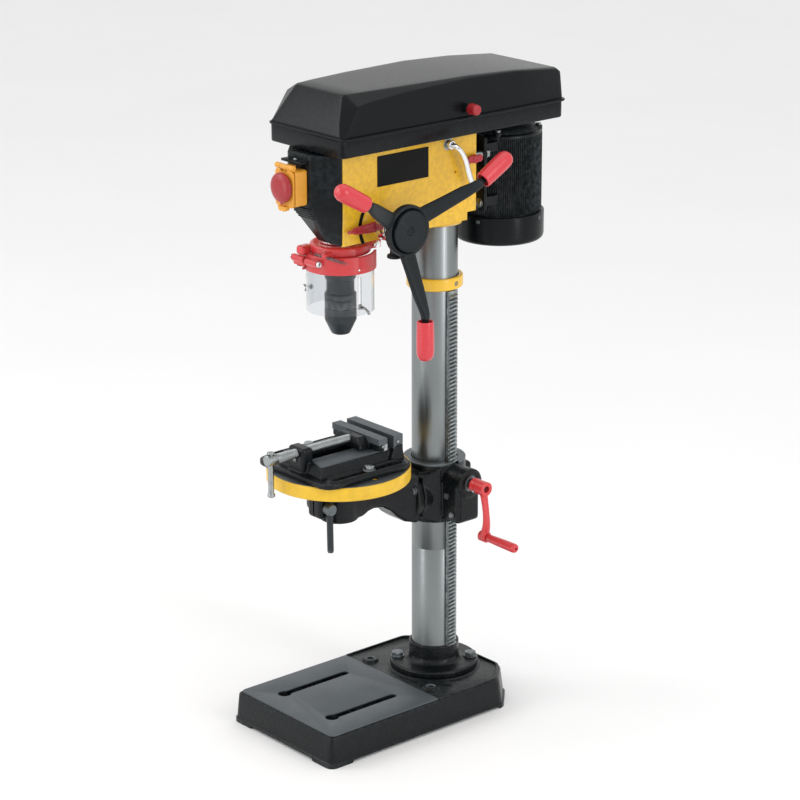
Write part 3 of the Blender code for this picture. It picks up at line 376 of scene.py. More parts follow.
def spring(start, end, radius, wire, turns, sides=8):
    start, end = Vector(start), Vector(end)
    matrix = Matrix.Translation(start) @ axis_matrix(end - start)
    count = turns * 16
    length = (end - start).length
    path = [
        matrix @ Vector(
            (
                radius * math.cos(2 * math.pi * n / 16), radius * math.sin(2 * math.pi * n / 16),
                length * n / count
            )
        )
        for n in range(count + 1)
    ]
    return sweep(path, wire, sides)


# ---------------------------------------------------------------- materials


def node(tree, kind, **values):
    made = tree.nodes.new(kind)
    for name, value in values.items():
        if name in made.inputs:
            made.inputs[name].default_value = value
        else:
            setattr(made, name, value)
    return made


def place_texture(tree, stretch, centre=(0, 0, 0)):
    """Object coordinates from a centre in the model's frame, stretched along the axes."""
    coordinates = node(tree, "ShaderNodeTexCoord")
    shift = node(tree, "ShaderNodeVectorMath", operation="SUBTRACT")
    shift.inputs[1].default_value = centre
    scale = node(tree, "ShaderNodeVectorMath", operation="MULTIPLY")
    scale.inputs[1].default_value = stretch
    tree.links.new(coordinates.outputs["Object"], shift.inputs[0])
    tree.links.new(shift.outputs[0], scale.inputs[0])
    return scale.outputs[0]


def noise_value(tree, scale, detail=4.0, stretch=(1, 1, 1), rough=0.55):
    texture = node(tree, "ShaderNodeTexNoise", Scale=scale, Detail=detail, Roughness=rough)
    tree.links.new(place_texture(tree, stretch), texture.inputs["Vector"])
    return texture.outputs["Fac"]


def spread(tree, value, low, high, from_low=0.3, from_high=0.7):
    """Maps a noise's middle range to low..high."""
    ranged = node(tree, "ShaderNodeMapRange", clamp=True)
    for name, number in (
        ("From Min", from_low), ("From Max", from_high), ("To Min", low), ("To Max", high)
    ):
        ranged.inputs[name].default_value = number
    tree.links.new(value, ranged.inputs["Value"])
    return ranged.outputs[0]


def blend_colours(tree, amount, first, second):
    mixed = node(tree, "ShaderNodeMix", data_type="RGBA")
    tree.links.new(amount, mixed.inputs[0])
    for socket, colour in ((mixed.inputs[6], first), (mixed.inputs[7], second)):
        if isinstance(colour, bpy.types.NodeSocket):
            tree.links.new(colour, socket)
        else:
            socket.default_value = (*colour, 1)
    return mixed.outputs[2]


def tinted(colour, factor):
    return tuple(min(1.0, c * factor) for c in colour)


def finish(
    name, colour, roughness, metallic=0.0, mottle=0.12, mottle_scale=14, grain=0.15, grain_scale=900,
    lumps=0.0, lump_scale=220, stretch=(1, 1, 1), worn=None, worn_share=0.0, dust=0.0, coat=0.0,
    specular=0.5, centre=(0, 0, 0), rings=0.0, rough_spread=0.08
):
    """A painted, moulded or machined surface with uneven colour and gloss, grain and worn edges."""
    made = bpy.data.materials.new(name)
    made.use_nodes = True
    tree = made.node_tree
    shader = tree.nodes["Principled BSDF"]
    shader.inputs["Metallic"].default_value = metallic
    shader.inputs["Coat Weight"].default_value = coat
    shader.inputs["Coat Roughness"].default_value = 0.12
    shader.inputs["Specular IOR Level"].default_value = specular
    cloud = noise_value(tree, mottle_scale, 5.0)
    shade = blend_colours(
        tree, spread(tree, cloud, 0, 1), tinted(colour, 1 - mottle), tinted(colour, 1 + mottle)
    )
    fine = noise_value(tree, grain_scale, 3.0, stretch)
    gloss = spread(tree, fine, roughness - rough_spread, roughness + rough_spread)
    if dust:
        specks = spread(tree, noise_value(tree, 160, 8.0, rough=0.75), 0, dust, 0.5, 0.68)
        shade = blend_colours(tree, specks, shade, (0.3, 0.3, 0.29))
    if worn:
        edges = node(tree, "ShaderNodeNewGeometry").outputs["Pointiness"]
        rubbed = spread(tree, edges, 0, worn_share, 0.515, 0.58)
        broken = node(tree, "ShaderNodeMath", operation="MULTIPLY")
        tree.links.new(rubbed, broken.inputs[0])
        tree.links.new(spread(tree, noise_value(tree, 130, 6.0), 0, 1, 0.42, 0.6), broken.inputs[1])
        shade = blend_colours(tree, broken.outputs[0], shade, worn)
    tree.links.new(shade, shader.inputs["Base Color"])
    tree.links.new(gloss, shader.inputs["Roughness"])
    height = fine
    if lumps:
        lump = noise_value(tree, lump_scale, 2.0)
        added = node(tree, "ShaderNodeMath", operation="MULTIPLY_ADD")
        tree.links.new(lump, added.inputs[0])
        added.inputs[1].default_value = lumps
        tree.links.new(fine, added.inputs[2])
        height = added.outputs[0]
    if rings:
        wave = node(
            tree, "ShaderNodeTexWave", wave_type="RINGS", rings_direction="Z", Scale=rings, Distortion=0.6
        )
        wave.inputs["Detail"].default_value = 2.0
        tree.links.new(place_texture(tree, (1, 1, 1), centre), wave.inputs["Vector"])
        added = node(tree, "ShaderNodeMath", operation="ADD")
        tree.links.new(height, added.inputs[0])
        tree.links.new(wave.outputs["Fac"], added.inputs[1])
        height = added.outputs[0]
    bump = node(tree, "ShaderNodeBump", Strength=grain, Distance=0.0006)
    tree.links.new(height, bump.inputs["Height"])
    tree.links.new(bump.outputs[0], shader.inputs["Normal"])
    return made


def clear_plastic():
    made = finish("clear_guard", (0.8, 0.82, 0.84), 0.06, grain=0.02, grain_scale=60, mottle=0.02)
    shader = made.node_tree.nodes["Principled BSDF"]
    shader.inputs["Transmission Weight"].default_value = 1.0
    shader.inputs["IOR"].default_value = 1.35
    return made


TABLE_CENTRE = (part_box("table")[0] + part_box("table")[1]) / 2
BLACK = (0.003, 0.0045, 0.0055)
LOOKS = {
    "yellow_paint": finish(
        "yellow_enamel", (0.80, 0.47, 0.02), 0.3, mottle=0.05, grain=0.12, grain_scale=700, lumps=1.2,
        lump_scale=160, coat=0.35, worn=(0.5, 0.27, 0.03), worn_share=0.35
    ),
    "yellow_cast": finish(
        "yellow_cast_enamel", (0.74, 0.45, 0.02), 0.4, mottle=0.1, mottle_scale=60, grain=0.5,
        grain_scale=420, lumps=1.5, lump_scale=200, worn=(0.35, 0.22, 0.05), worn_share=0.5
    ),
    "black_cast": finish(
        "black_cast_enamel", BLACK, 0.3, mottle=0.25, mottle_scale=50, grain=0.45, grain_scale=500,
        lumps=2.0, lump_scale=170, coat=0.05, specular=0.22, worn=(0.05, 0.06, 0.06), worn_share=0.5,
        dust=0.01
    ),
    "black_sheet": finish(
        "black_sheet_enamel", BLACK, 0.27, mottle=0.15, mottle_scale=9, grain=0.12, grain_scale=1100,
        lumps=0.8, lump_scale=120, coat=0.03, specular=0.16, worn=(0.03, 0.04, 0.045), worn_share=0.3
    ),
    "black_moulded": finish(
        "black_moulded_plastic", (0.006, 0.009, 0.011), 0.42, specular=0.25, mottle=0.12, grain=0.3,
        grain_scale=1400, worn=(0.07, 0.08, 0.085), worn_share=0.35
    ),
    "black_fins": finish(
        "black_dusty_enamel", (0.006, 0.009, 0.011), 0.5, specular=0.25, mottle=0.35, mottle_scale=110,
        grain=0.6, grain_scale=900, dust=0.15, worn=(0.08, 0.1, 0.105), worn_share=0.55
    ),
    "steel": finish(
        "polished_steel", (0.24, 0.258, 0.262), 0.36, 1.0, mottle=0.1, mottle_scale=5, grain=0.02,
        grain_scale=1.0, stretch=(900, 900, 6), rough_spread=0.08
    ),
    "rack_steel": finish(
        "rack_steel", (0.26, 0.285, 0.29), 0.42, 1.0, mottle=0.2, mottle_scale=90, grain=0.25,
        grain_scale=700, worn=(0.6, 0.62, 0.62), worn_share=0.6, rough_spread=0.12
    ),
    "ground_iron": finish(
        "ground_iron", (0.10, 0.115, 0.125), 0.45, 0.7, mottle=0.14, mottle_scale=12, grain=0.1,
        grain_scale=1.0, stretch=(2200, 60, 60), rough_spread=0.12
    ),
    "turned_iron": finish(
        "turned_iron", (0.12, 0.135, 0.145), 0.4, 0.8, mottle=0.14, mottle_scale=20, grain=0.09,
        grain_scale=500, rings=330, centre=tuple(TABLE_CENTRE), rough_spread=0.1
    ),
    "zinc": finish(
        "zinc_plate", (0.34, 0.36, 0.365), 0.3, 1.0, mottle=0.12, mottle_scale=120, grain=0.12,
        grain_scale=900, worn=(0.3, 0.3, 0.3), worn_share=0.3
    ),
    "chrome": finish(
        "chrome_plate", (0.78, 0.79, 0.8), 0.12, 1.0, mottle=0.06, grain=0.04, grain_scale=500,
        rough_spread=0.06
    ),
    "dark_steel": finish(
        "oiled_steel", (0.12, 0.14, 0.15), 0.36, 0.8, mottle=0.2, mottle_scale=60, grain=0.2,
        grain_scale=800, worn=(0.4, 0.42, 0.42), worn_share=0.5
    ),
    "chuck_steel": finish(
        "blued_steel", (0.016, 0.023, 0.028), 0.32, 0.3, mottle=0.15, mottle_scale=60, grain=0.12,
        grain_scale=1000, worn=(0.3, 0.32, 0.33), worn_share=0.5
    ),
    "red_vinyl": finish(
        "red_dipped_vinyl", (0.60, 0.03, 0.042), 0.32, mottle=0.06, grain=0.1, grain_scale=500, lumps=0.8,
        lump_scale=90, coat=0.2
    ),
    "red_plastic": finish(
        "red_moulded_plastic", (0.34, 0.015, 0.022), 0.33, mottle=0.08, grain=0.15, grain_scale=900,
        lumps=0.7, lump_scale=120, worn=(0.7, 0.2, 0.18), worn_share=0.35
    ),
    "coral_plastic": finish(
        "coral_moulded_plastic", (0.60, 0.035, 0.04), 0.3, mottle=0.07, grain=0.12, grain_scale=800,
        lumps=0.8, lump_scale=110, coat=0.2
    ),
    "yellow_plastic": finish(
        "yellow_moulded_plastic", (0.74, 0.33, 0.03), 0.38, mottle=0.06, grain=0.12, grain_scale=1100,
        worn=(0.6, 0.3, 0.05), worn_share=0.3
    ),
    "green_plastic": finish(
        "green_moulded_plastic", (0.03, 0.3, 0.08), 0.35, mottle=0.06, grain=0.1, grain_scale=900
    ),
    "aluminium": finish(
        "turned_aluminium", (0.6, 0.61, 0.62), 0.3, 1.0, mottle=0.08, grain=0.1, grain_scale=1.0,
        stretch=(60, 60, 2400)
    ),
    "rubber": finish(
        "belt_rubber", (0.02, 0.02, 0.02), 0.75, mottle=0.3, mottle_scale=80, grain=0.5, grain_scale=800,
        dust=0.1
    ),
    "panel_black": finish(
        "panel_film", (0.003, 0.0035, 0.0035), 0.4, mottle=0.1, grain=0.05, grain_scale=1500, specular=0.15
    ),
    "clear": clear_plastic()
}


def place(shape, name, body, look, replaces=(), smooth=35):
    """Names a finished shape, brings it into the model's frame and lets it ride on its body."""
    shape.name = name
    shape.data.name = name
    shape.data.transform(Matrix.Translation(AXIS) @ Matrix.Scale(MM, 4))
    shape.data.materials.clear()
    shape.data.materials.append(LOOKS[look])
    shape.data.shade_smooth()
    if smooth < 180:
        shape.data.set_sharp_from_angle(angle=math.radians(smooth))
    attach(shape, body)
    if replaces:
        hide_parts(*([replaces] if isinstance(replaces, str) else replaces))
    return shape


def merge(*shapes):
    """One object from shapes that may overlap, for cast() to fuse."""
    shape = bmesh.new()
    for obj in shapes:
        shape.from_mesh(obj.data)
        bpy.data.objects.remove(obj, do_unlink=True)
    mesh = bpy.data.meshes.new("merged")
    shape.to_mesh(mesh)
    shape.free()
    return show(mesh)


def turn_about(obj, angle, centre):
    """Turns a shape about an upright axis through centre."""
    turn = Matrix.Rotation(math.radians(angle), 4, "Z")
    obj.data.transform(Matrix.Translation(centre) @ turn @ Matrix.Translation(-Vector(centre)))
    return obj


def bolt(centre, axis, across, height, washer_radius=0.0):
    """A hex head on an optional washer, resting on centre."""
    axis = Vector(axis).normalized()
    if not washer_radius:
        return hex_shape(centre, axis, across, height)
    base = turned([(0, 1.6), (washer_radius, 1.6), (washer_radius, 0), (0, 0)], centre, axis, MEDIUM, 0.3)
    return merge(base, hex_shape(Vector(centre) + axis * 1.5, axis, across, height - 1.5))


def pan_screw(centre, axis, radius, height, slot=True):
    """A domed screw head with a crossed recess."""
    head = turned(
        [(0, height), (radius * 0.55, height * 0.95), (radius * 0.9, height * 0.6), (radius, 0), (0, 0)],
        centre, axis, 32, 0.3
    )
    if slot:
        matrix = Matrix.Translation(Vector(centre)) @ axis_matrix(axis)
        for size in ((radius * 0.62, radius * 0.13), (radius * 0.13, radius * 0.62)):
            tool = box((-size[0], -size[1], height * 0.45), (size[0], size[1], height * 2))
            tool.data.transform(matrix)
            cut(head, tool)
    return head


# ---------------------------------------------------------------- base and column


def base_outline(inset):
    corner = 14
    half, front, back, chamfer = 120 - inset, -309 + inset, 80 - inset, 40
    points = [
        (-half, front), (half, front), (half, back - chamfer), (half - chamfer, back),
        (chamfer - half, back), (-half, back - chamfer)
    ]
    return rounded_path(points, [max(corner - inset, 3)] * 2 + [8] * 4, 7)


def trapezoid(low, high, bottom, top, matrix):
    """A relief cutter: wide below, narrow above, running through along its own Z."""
    return slab([(-low, bottom), (low, bottom), (high, top), (-high, top)], -500, 500, matrix)


def keyhole(x, narrow, wide):
    front, back = -266 + wide, -129 - narrow
    start = math.degrees(math.acos(narrow / wide))
    return arc((x, back), narrow, 0, 180, 12) + arc((x, front), wide, 180 - start, 360 + start, 24)


def build_base():
    steps = ((0, 0), (6.5, 0.0), (8.5, 2.0), (44, 5.2), (46.6, 6.2), (48, 8.6))
    body = loft([lifted(base_outline(inset), z) for z, inset in steps])
    pocket = loft([lifted(base_outline(12), -5), lifted(base_outline(15), 36)])
    across = Matrix.Translation((0, -117, 0)) @ Matrix.Rotation(
        math.pi / 2, 4, "Z"
    ) @ Matrix.Rotation(math.pi / 2, 4, "X")
    along = Matrix.Rotation(math.pi / 2, 4, "X")
    cut(body, pocket, trapezoid(152, 147, -2, 4.5, across), trapezoid(78, 73, -2, 4.5, along))
    for side in (-1, 1):
        cut(body, slab(keyhole(side * 57.5, 6.5, 10.5), 10, 80))
        cut(body, rod((side * 72.5, -70, 10), (side * 72.5, -70, 80), 5.6))
    place(body, "base_casting", "stand", "black_cast", "base", smooth=30)
    pad = slab(
        rounded_path([(-111, -299.5), (111, -299.5), (111, -89), (-111, -89)], [9, 9, 1, 1], 6), 46, 50
    )
    for side in (-1, 1):
        cut(pad, slab(keyhole(side * 57.5, 6.5, 10.5), 10, 80))
    place(rounded(pad, 0.35, 2, 50), "base_pad", "stand", "ground_iron", smooth=30)
    ridge = cut(
        slab(base_outline(7.5), 46.5, 50.2), slab(base_outline(10.5), 40, 60),
        box((-200, -400, 0), (200, -88, 100))
    )
    place(rounded(ridge, 0.9, 3, 40), "base_ridge", "stand", "black_cast")
    ring = turned([(60, 50), (71, 50), (73.5, 48.6), (75.5, 47.4), (75.5, 46), (60, 46)], radius=0.8)
    place(ring, "base_column_pad", "stand", "black_cast")
    for side, name in ((-1, "left"), (1, "right")):
        centre = (side * 72.5, -70, 0)
        boss = turned(
            [(8.3, 52), (11.4, 52), (12.6, 50.6), (13, 48.6), (15.5, 47.5), (15.5, 45), (8.3, 45)], centre,
            radius=0.7
        )
        place(boss, f"base_boss_{name}", "stand", "black_cast")
        rim = turned([(5.5, 44), (5.5, 51.3), (6.3, 52.2), (8.4, 52.2), (8.4, 44)], centre, steps=MEDIUM)
        place(rim, f"base_hole_rim_{name}", "stand", "ground_iron")


def build_column():
    flange = turned(
        [
            (35.3, 90.5), (38, 90.5), (39, 89.2), (39, 68), (40.6, 63.2), (44, 60.6), (47, 60), (66.5, 60),
            (69, 58), (69, 50.3), (35.3, 50.3)
        ],
        radius=1.2
    )
    for angle in FLANGE_BOLT_TURNS:
        x, y = FLANGE_BOLT_RADIUS * math.cos(
            math.radians(angle)
        ), FLANGE_BOLT_RADIUS * math.sin(math.radians(angle))
        cut(flange, rod((x, y, 45), (x, y, 70), 5.3))
    place(flange, "flange_casting", "stand", "black_cast", "column_flange")
    for number, angle in enumerate(FLANGE_BOLT_TURNS, 1):
        x, y = FLANGE_BOLT_RADIUS * math.cos(
            math.radians(angle)
        ), FLANGE_BOLT_RADIUS * math.sin(math.radians(angle))
        head = turn_about(bolt((x, y, 60.1), UP, 17, 7.2, 11), angle * 2.3, (x, y, 60))
        place(head, f"flange_bolt_head_{number}", "stand", "dark_steel", f"flange_bolt_{number}")
    tube = turned(
        [
            (34.2, 903), (35, 902.2), (35, 252.2), (34.88, 252), (34.88, 251.4), (35, 251.2), (35, 50.4),
            (31, 50.4), (31, 903)
        ],
        steps=160
    )
    place(tube, "column_tube", "stand", "steel", "column", smooth=50)
    collar = turned(
        [(36.8, 687.6), (41.6, 688), (43.2, 686.6), (43.2, 671), (41.5, 669.2), (36.8, 669)], radius=0.8
    )
    place(collar, "collar_ring", "stand", "yellow_paint", "rack_collar")
    lining = turned([(35.3, 686.6), (37, 686.6), (37, 669.6), (35.3, 669.6)])
    place(lining, "collar_lining", "stand", "ground_iron")
    screw = pan_screw((0, -41.9, 678.5), FRONT, 4.4, 1.9)
    place(turn_about(screw, 98, (0, 0, 0)), "collar_screw", "stand", "dark_steel")


def build_rack():
    pitch, low, high = 2 * math.pi, 91.3, 667.8
    foot, gear_z = 91, 349
    phase = (gear_z - foot) % pitch  # a tooth stands level with the lift gear's axis
    sections = []
    for y, inset in ((-7.3, 0.5), (-6.8, 0), (6.8, 0), (7.3, 0.5)):
        slant = y * 0.16
        outline = [(35.6, low)]
        for n in range(int((high - low - phase) / pitch)):
            centre = foot + phase + (n + 0.5) * pitch + slant
            outline += [
                (41.2 - inset, centre - 0.33 * pitch), (44.9 - inset, centre - 0.14 * pitch),
                (45.4 - inset, centre - 0.09 * pitch), (45.4 - inset, centre + 0.09 * pitch),
                (44.9 - inset, centre + 0.14 * pitch), (41.2 - inset, centre + 0.33 * pitch)
            ]
        outline += [(41.2 - inset, high), (35.6, high)]
        outline[1:1] = [(41.2 - inset, low)]
        sections.append([(x, y, z) for x, z in outline])
    place(loft(sections), "rack_teeth", "table_swing", "rack_steel", "column_rack", smooth=20)


# ---------------------------------------------------------------- table lift


def build_bracket():
    shell = rod((0, 0, 302), (0, 0, 395), 48.3, FINE)
    lower_rim = rod((0, 0, 301.5), (0, 0, 309), 48.6, FINE)
    housing = rounded(box((16, -23.5, 308.5), (81.5, 21.5, 374)), 6, 5)
    boss = rod((20, 0, 372), (80, 0, 372), 22.2, FINE)
    crown = rod((72, 0, 372), (84.5, 0, 372), 23, FINE)
    neck = loft(
        [
            [(x, -26, z) for x, z in ((-46, 303), (46, 303), (46, 392), (-46, 392))],
            [(x, -53, z) for x, z in ((-34, 313), (34, 313), (34, 379), (-34, 379))]
        ]
    )
    disc = rod((0, -40, 345), (0, -53.7, 345), 41, FINE)
    ears = rounded(box((-18.5, 34, 322.5), (18.5, 63.5, 377.5)), 7, 5)
    web = box((40, -4, 368), (74, 4, 393.5))
    bracket = cast(merge(shell, lower_rim, housing, boss, crown, neck, disc, ears, web), 1.25, 6, 0.12)
    cut(
        bracket, rod((0, 0, 280), (0, 0, 420), 35.7, FINE), box((20, -8.2, 280), (49, 8.2, 420)),
        box((-1.5, 30, 280), (1.5, 80, 420)), rod((60, 0, 372), (100, 0, 372), 13.5),
        rod((-40, 54, 350), (40, 54, 350), 5.7), box((-80, -80, 395.2), (80, 80, 420))
    )
    place(bracket, "bracket_casting", "table_bracket", "black_cast", "table_bracket", smooth=40)
    # Painted highlight: the bracket's top face is made as a grey metal ring, standing for the bracket's
    # black paint where the light from above falls on it.
    rim = cut(
        turned([(36.2, 396.9), (47.4, 396.9), (48.4, 395.9), (48.4, 393.5), (35.8, 393.5), (35.8, 396.5)]),
        box((20, -8.2, 380), (60, 8.2, 420)), box((-1.5, 30, 380), (1.5, 80, 420))
    )
    place(rounded(rim, 0.3, 2, 50), "bracket_top_highlight_ring", "table_bracket", "turned_iron")
    face = turned([(13.6, 86), (19.2, 86), (20.6, 84.6), (20.6, 82), (13.6, 82)], CRANK, RIGHT, radius=0.4)
    place(face, "worm_boss_face", "table_bracket", "black_cast")
    bush = turned([(6.5, 84.4), (13.4, 84.4), (13.4, 70), (6.5, 70)], CRANK, RIGHT, radius=0.5)
    place(bush, "worm_bush", "table_bracket", "dark_steel")
    seal = turned([(8.6, 85.3), (10.8, 85.3), (10.8, 84.2), (8.6, 84.2)], CRANK, RIGHT, radius=0.3)
    place(seal, "worm_snap_ring", "table_bracket", "zinc")
    place(bolt((68, -23.4, 322), FRONT, 9, 3.6), "housing_screw", "table_bracket", "dark_steel")
    place(bolt((18.6, 54, 350), RIGHT, 13, 6.5, 9), "column_clamp_nut", "table_bracket", "zinc")
    pin = turned([(0, 24), (4.6, 24), (5.2, 23.4), (5.2, -25), (0, -25)], (55.5, 0, 349), BACK, MEDIUM)
    place(pin, "gear_pin_ends", "table_bracket", "dark_steel")


def build_crank():
    shaft = merge(
        turned([(0, 108), (5.2, 108), (6, 107.2), (6, 60), (0, 60)], CRANK, RIGHT, MEDIUM),
        screw_thread((52, 0, 372), RIGHT, 16, 8, 4, 1.6)
    )
    place(shaft, "crank_shaft_bar", "crank", "steel", "crank_shaft")
    hub = rod((92.6, 0, 372), (120.4, 0, 372), 11.2, MEDIUM)
    collar = rod((92, 0, 372), (97, 0, 372), 11.5, MEDIUM)
    path = smooth_path(
        [(112, 0, 374), (115.5, 0, 356), (119.5, 0, 334), (120.3, 0, 314), (116.5, 0, 297)], 10
    )
    count = len(path)
    widths = [8.2 - 2.2 * math.sin(math.pi * min(1, n / count * 1.15)) for n in range(count)]
    arm = sweep(path, widths, 32, 0.62, BACK)
    knuckle = rod((109, 0, 295), (123.4, 0, 295), 8.4, MEDIUM)
    crank = cast(merge(hub, collar, arm, knuckle), 0.65, 5)
    cut(
        crank, rod((104, 0, 372), (130, 0, 372), 5.4), rod((91, 0, 372), (110, 0, 372), 6.2),
        rod((100, 0, 295), (130, 0, 295), 4.4)
    )
    place(crank, "crank_casting", "crank", "coral_plastic", "crank_arm", smooth=50)
    end = turned([(0, 114), (4.6, 114), (5.3, 113.3), (5.3, 104), (0, 104)], CRANK, RIGHT, MEDIUM)
    place(end, "crank_shaft_end", "crank", "ground_iron")
    place(pan_screw((99.5, -9.6, 366), (0, -0.86, -0.5), 3.2, 2.6), "crank_set_screw", "crank", "zinc")
    grip = turned(
        [
            (0, 187), (4.6, 187), (6.6, 185.4), (7.2, 182), (7.1, 162), (6.4, 138), (6, 125.4),
            (4.4, 124.4), (0, 124.4)
        ],
        CRANK_GRIP, RIGHT, FINE, 1.2
    )
    cut(grip, rod((180, 0, 295), (190, 0, 295), 2.1, SMALL))
    place(grip, "crank_handle", "crank_grip", "coral_plastic", "crank_grip", smooth=50)
    rivet = turned(
        [(0, 109.2), (3.4, 109.2), (4, 108.6), (4, 107.2), (0, 107.2)], CRANK_GRIP, RIGHT, MEDIUM
    )
    place(rivet, "crank_rivet", "crank_grip", "zinc")


def build_column_lock():
    lever = merge(
        turned(
            [(0, -20.4), (9.2, -20.4), (10, -21.2), (10, -31.4), (9.4, -32), (5, -33), (5, -60), (0, -60)],
            COLUMN_CLAMP, RIGHT, MEDIUM, 0.4
        ),
        rod((-40, 54, 350), (-62, 54, 350), 5, MEDIUM)
    )
    place(lever, "column_clamp_stud", "column_lock", "zinc", "column_lock_lever")
    hub = turned(
        [(5.1, 56.5), (8, 56.5), (9, 55.5), (9, 45.5), (8, 44.5), (5.1, 44.5)], COLUMN_CLAMP, LEFT, MEDIUM,
        0.8
    )
    path = smooth_path([(-50.5, 57, 345), (-50.5, 64, 330), (-50.5, 71, 310), (-50.5, 77, 292)], 8)
    bar = sweep(path, 4.3, SMALL)
    place(merge(hub, bar), "column_clamp_bar", "column_lock", "zinc")
    along = Vector((0, 9, -22.5)).normalized()
    grip = turned(
        [(0, -1), (5, -1), (6, 0), (7.6, 8), (7.6, 18), (6, 23.4), (3, 25), (0, 25)], (-50.5, 74.5, 298),
        along, MEDIUM, 1.4
    )
    place(grip, "column_clamp_grip", "column_lock", "black_moulded")


# ---------------------------------------------------------------- table


def build_arm():
    sections = []
    for y, half, low, high in (
        (-60, 33, 306.5, 387), (-78, 27, 311, 396), (-92, 25, 321, 400), (-104, 24, 333, 401),
        (-120, 23, 343, 401.6), (-138, 23, 346, 401.6), (-150, 23.5, 344.5, 401.6), (-162, 25, 340, 401.6),
        (-190, 27, 339.5, 401.6)
    ):
        outline = rounded_path([(-half, low), (half, low), (half, high), (-half, high)], 9, 5)
        sections.append([(p.x, y, p.y) for p in outline])
    arm = cast(
        merge(
            rod((0, -54.4, 345), (0, -66, 345), 41, FINE), loft(sections),
            rod((0, TABLE_Y, 339.3), (0, TABLE_Y, 401.8), 29, FINE),
            rod((0, TABLE_Y, 388), (0, TABLE_Y, 401.8), 30, FINE),
            rounded(box((-16, -240, 350.5), (16, -205, 393.5)), 6, 5),
            rod((-19, -228, 368), (16, -228, 368), 10.5, MEDIUM), box((-4, -160, 341), (4, -66, 352))
        ),
        1.25, 6, 0.12
    )
    cut(
        arm, rod((0, TABLE_Y, 300), (0, TABLE_Y, 420), 20.6, FINE),
        box((-1.5, -260, 300), (1.5, -205, 420)), rod((-30, -228, 368), (30, -228, 368), 5.4)
    )
    place(arm, "arm_casting", "table_arm", "black_cast", "table_arm", smooth=45)
    place(bolt((-19, -228, 368), LEFT, 12.5, 5.4, 8.4), "socket_clamp_head", "table_arm", "zinc")
    for sign in (-1, 1):
        turn = math.radians(90 + sign * 62)
        x, z = 33 * math.cos(turn), 345 + 33 * math.sin(turn)
        place(
            bolt((x, -66, z), FRONT, 10, 5, 7), f"tilt_bolt_{'left' if sign > 0 else 'right'}", "table_arm",
            "dark_steel"
        )
    stud = merge(
        turned(
            [(0, 30), (8, 30), (9, 29), (9, 17.4), (8, 16.6), (0, 16.6)], TABLE_CLAMP, RIGHT, MEDIUM, 0.5
        ),
        rod((-26, -228, 368), (20, -228, 368), 4.9, MEDIUM)
    )
    place(stud, "table_clamp_stud", "table_lock", "dark_steel", "table_lock_lever")
    path = smooth_path([(23.4, -228, 375), (24, -228.4, 352), (25.4, -229.2, 325), (26.9, -230, 301)], 8)
    radii = [4.2] + [5] * (len(path) - 2) + [4.2]
    place(sweep(path, radii, 32), "table_clamp_bar", "table_lock", "chuck_steel")


def table_slot(angle):
    """The cutter for one radial slot of the table."""
    turn = Matrix.Translation(TABLE) @ Matrix.Rotation(math.radians(angle), 4, "Z")
    return slab([(y + 66, x) for x, y in slot_outline(0, 0, 26, 6)], 400, 440, turn)


def build_table():
    centre = TABLE
    rim = turned(
        [
            (105.4, 424.6), (107, 425.2), (108.5, 423.4), (108.5, 405.4), (107, 404), (102.4, 404),
            (101, 405.4), (101, 413.6), (26, 413.4), (24, 404), (20, 402.6), (20, 345), (8.2, 345),
            (8.2, 422), (105.4, 422)
        ],
        centre, steps=160, radius=0.8
    )
    for angle in QUARTER_TURNS:
        cut(rim, table_slot(angle))
    place(rim, "table_casting", "table", "yellow_cast", "table", smooth=35)
    top = turned(
        [(8.2, 425.4), (104.6, 425.4), (105.3, 424.9), (105.3, 421.6), (8.2, 421.6)], centre, steps=160
    )
    for angle in QUARTER_TURNS:
        cut(top, table_slot(angle))
    place(rounded(top, 0.25, 1, 50), "table_top_face", "table", "turned_iron")
    for number, angle in enumerate((45, 135, 225, 315), 1):
        rib = rounded(box((22, -3, 404.6), (102, 3, 414)), 1.4, 3)
        rib.data.transform(Matrix.Translation(centre) @ Matrix.Rotation(math.radians(angle), 4, "Z"))
        place(rib, f"table_rib_{number}", "table", "yellow_cast")


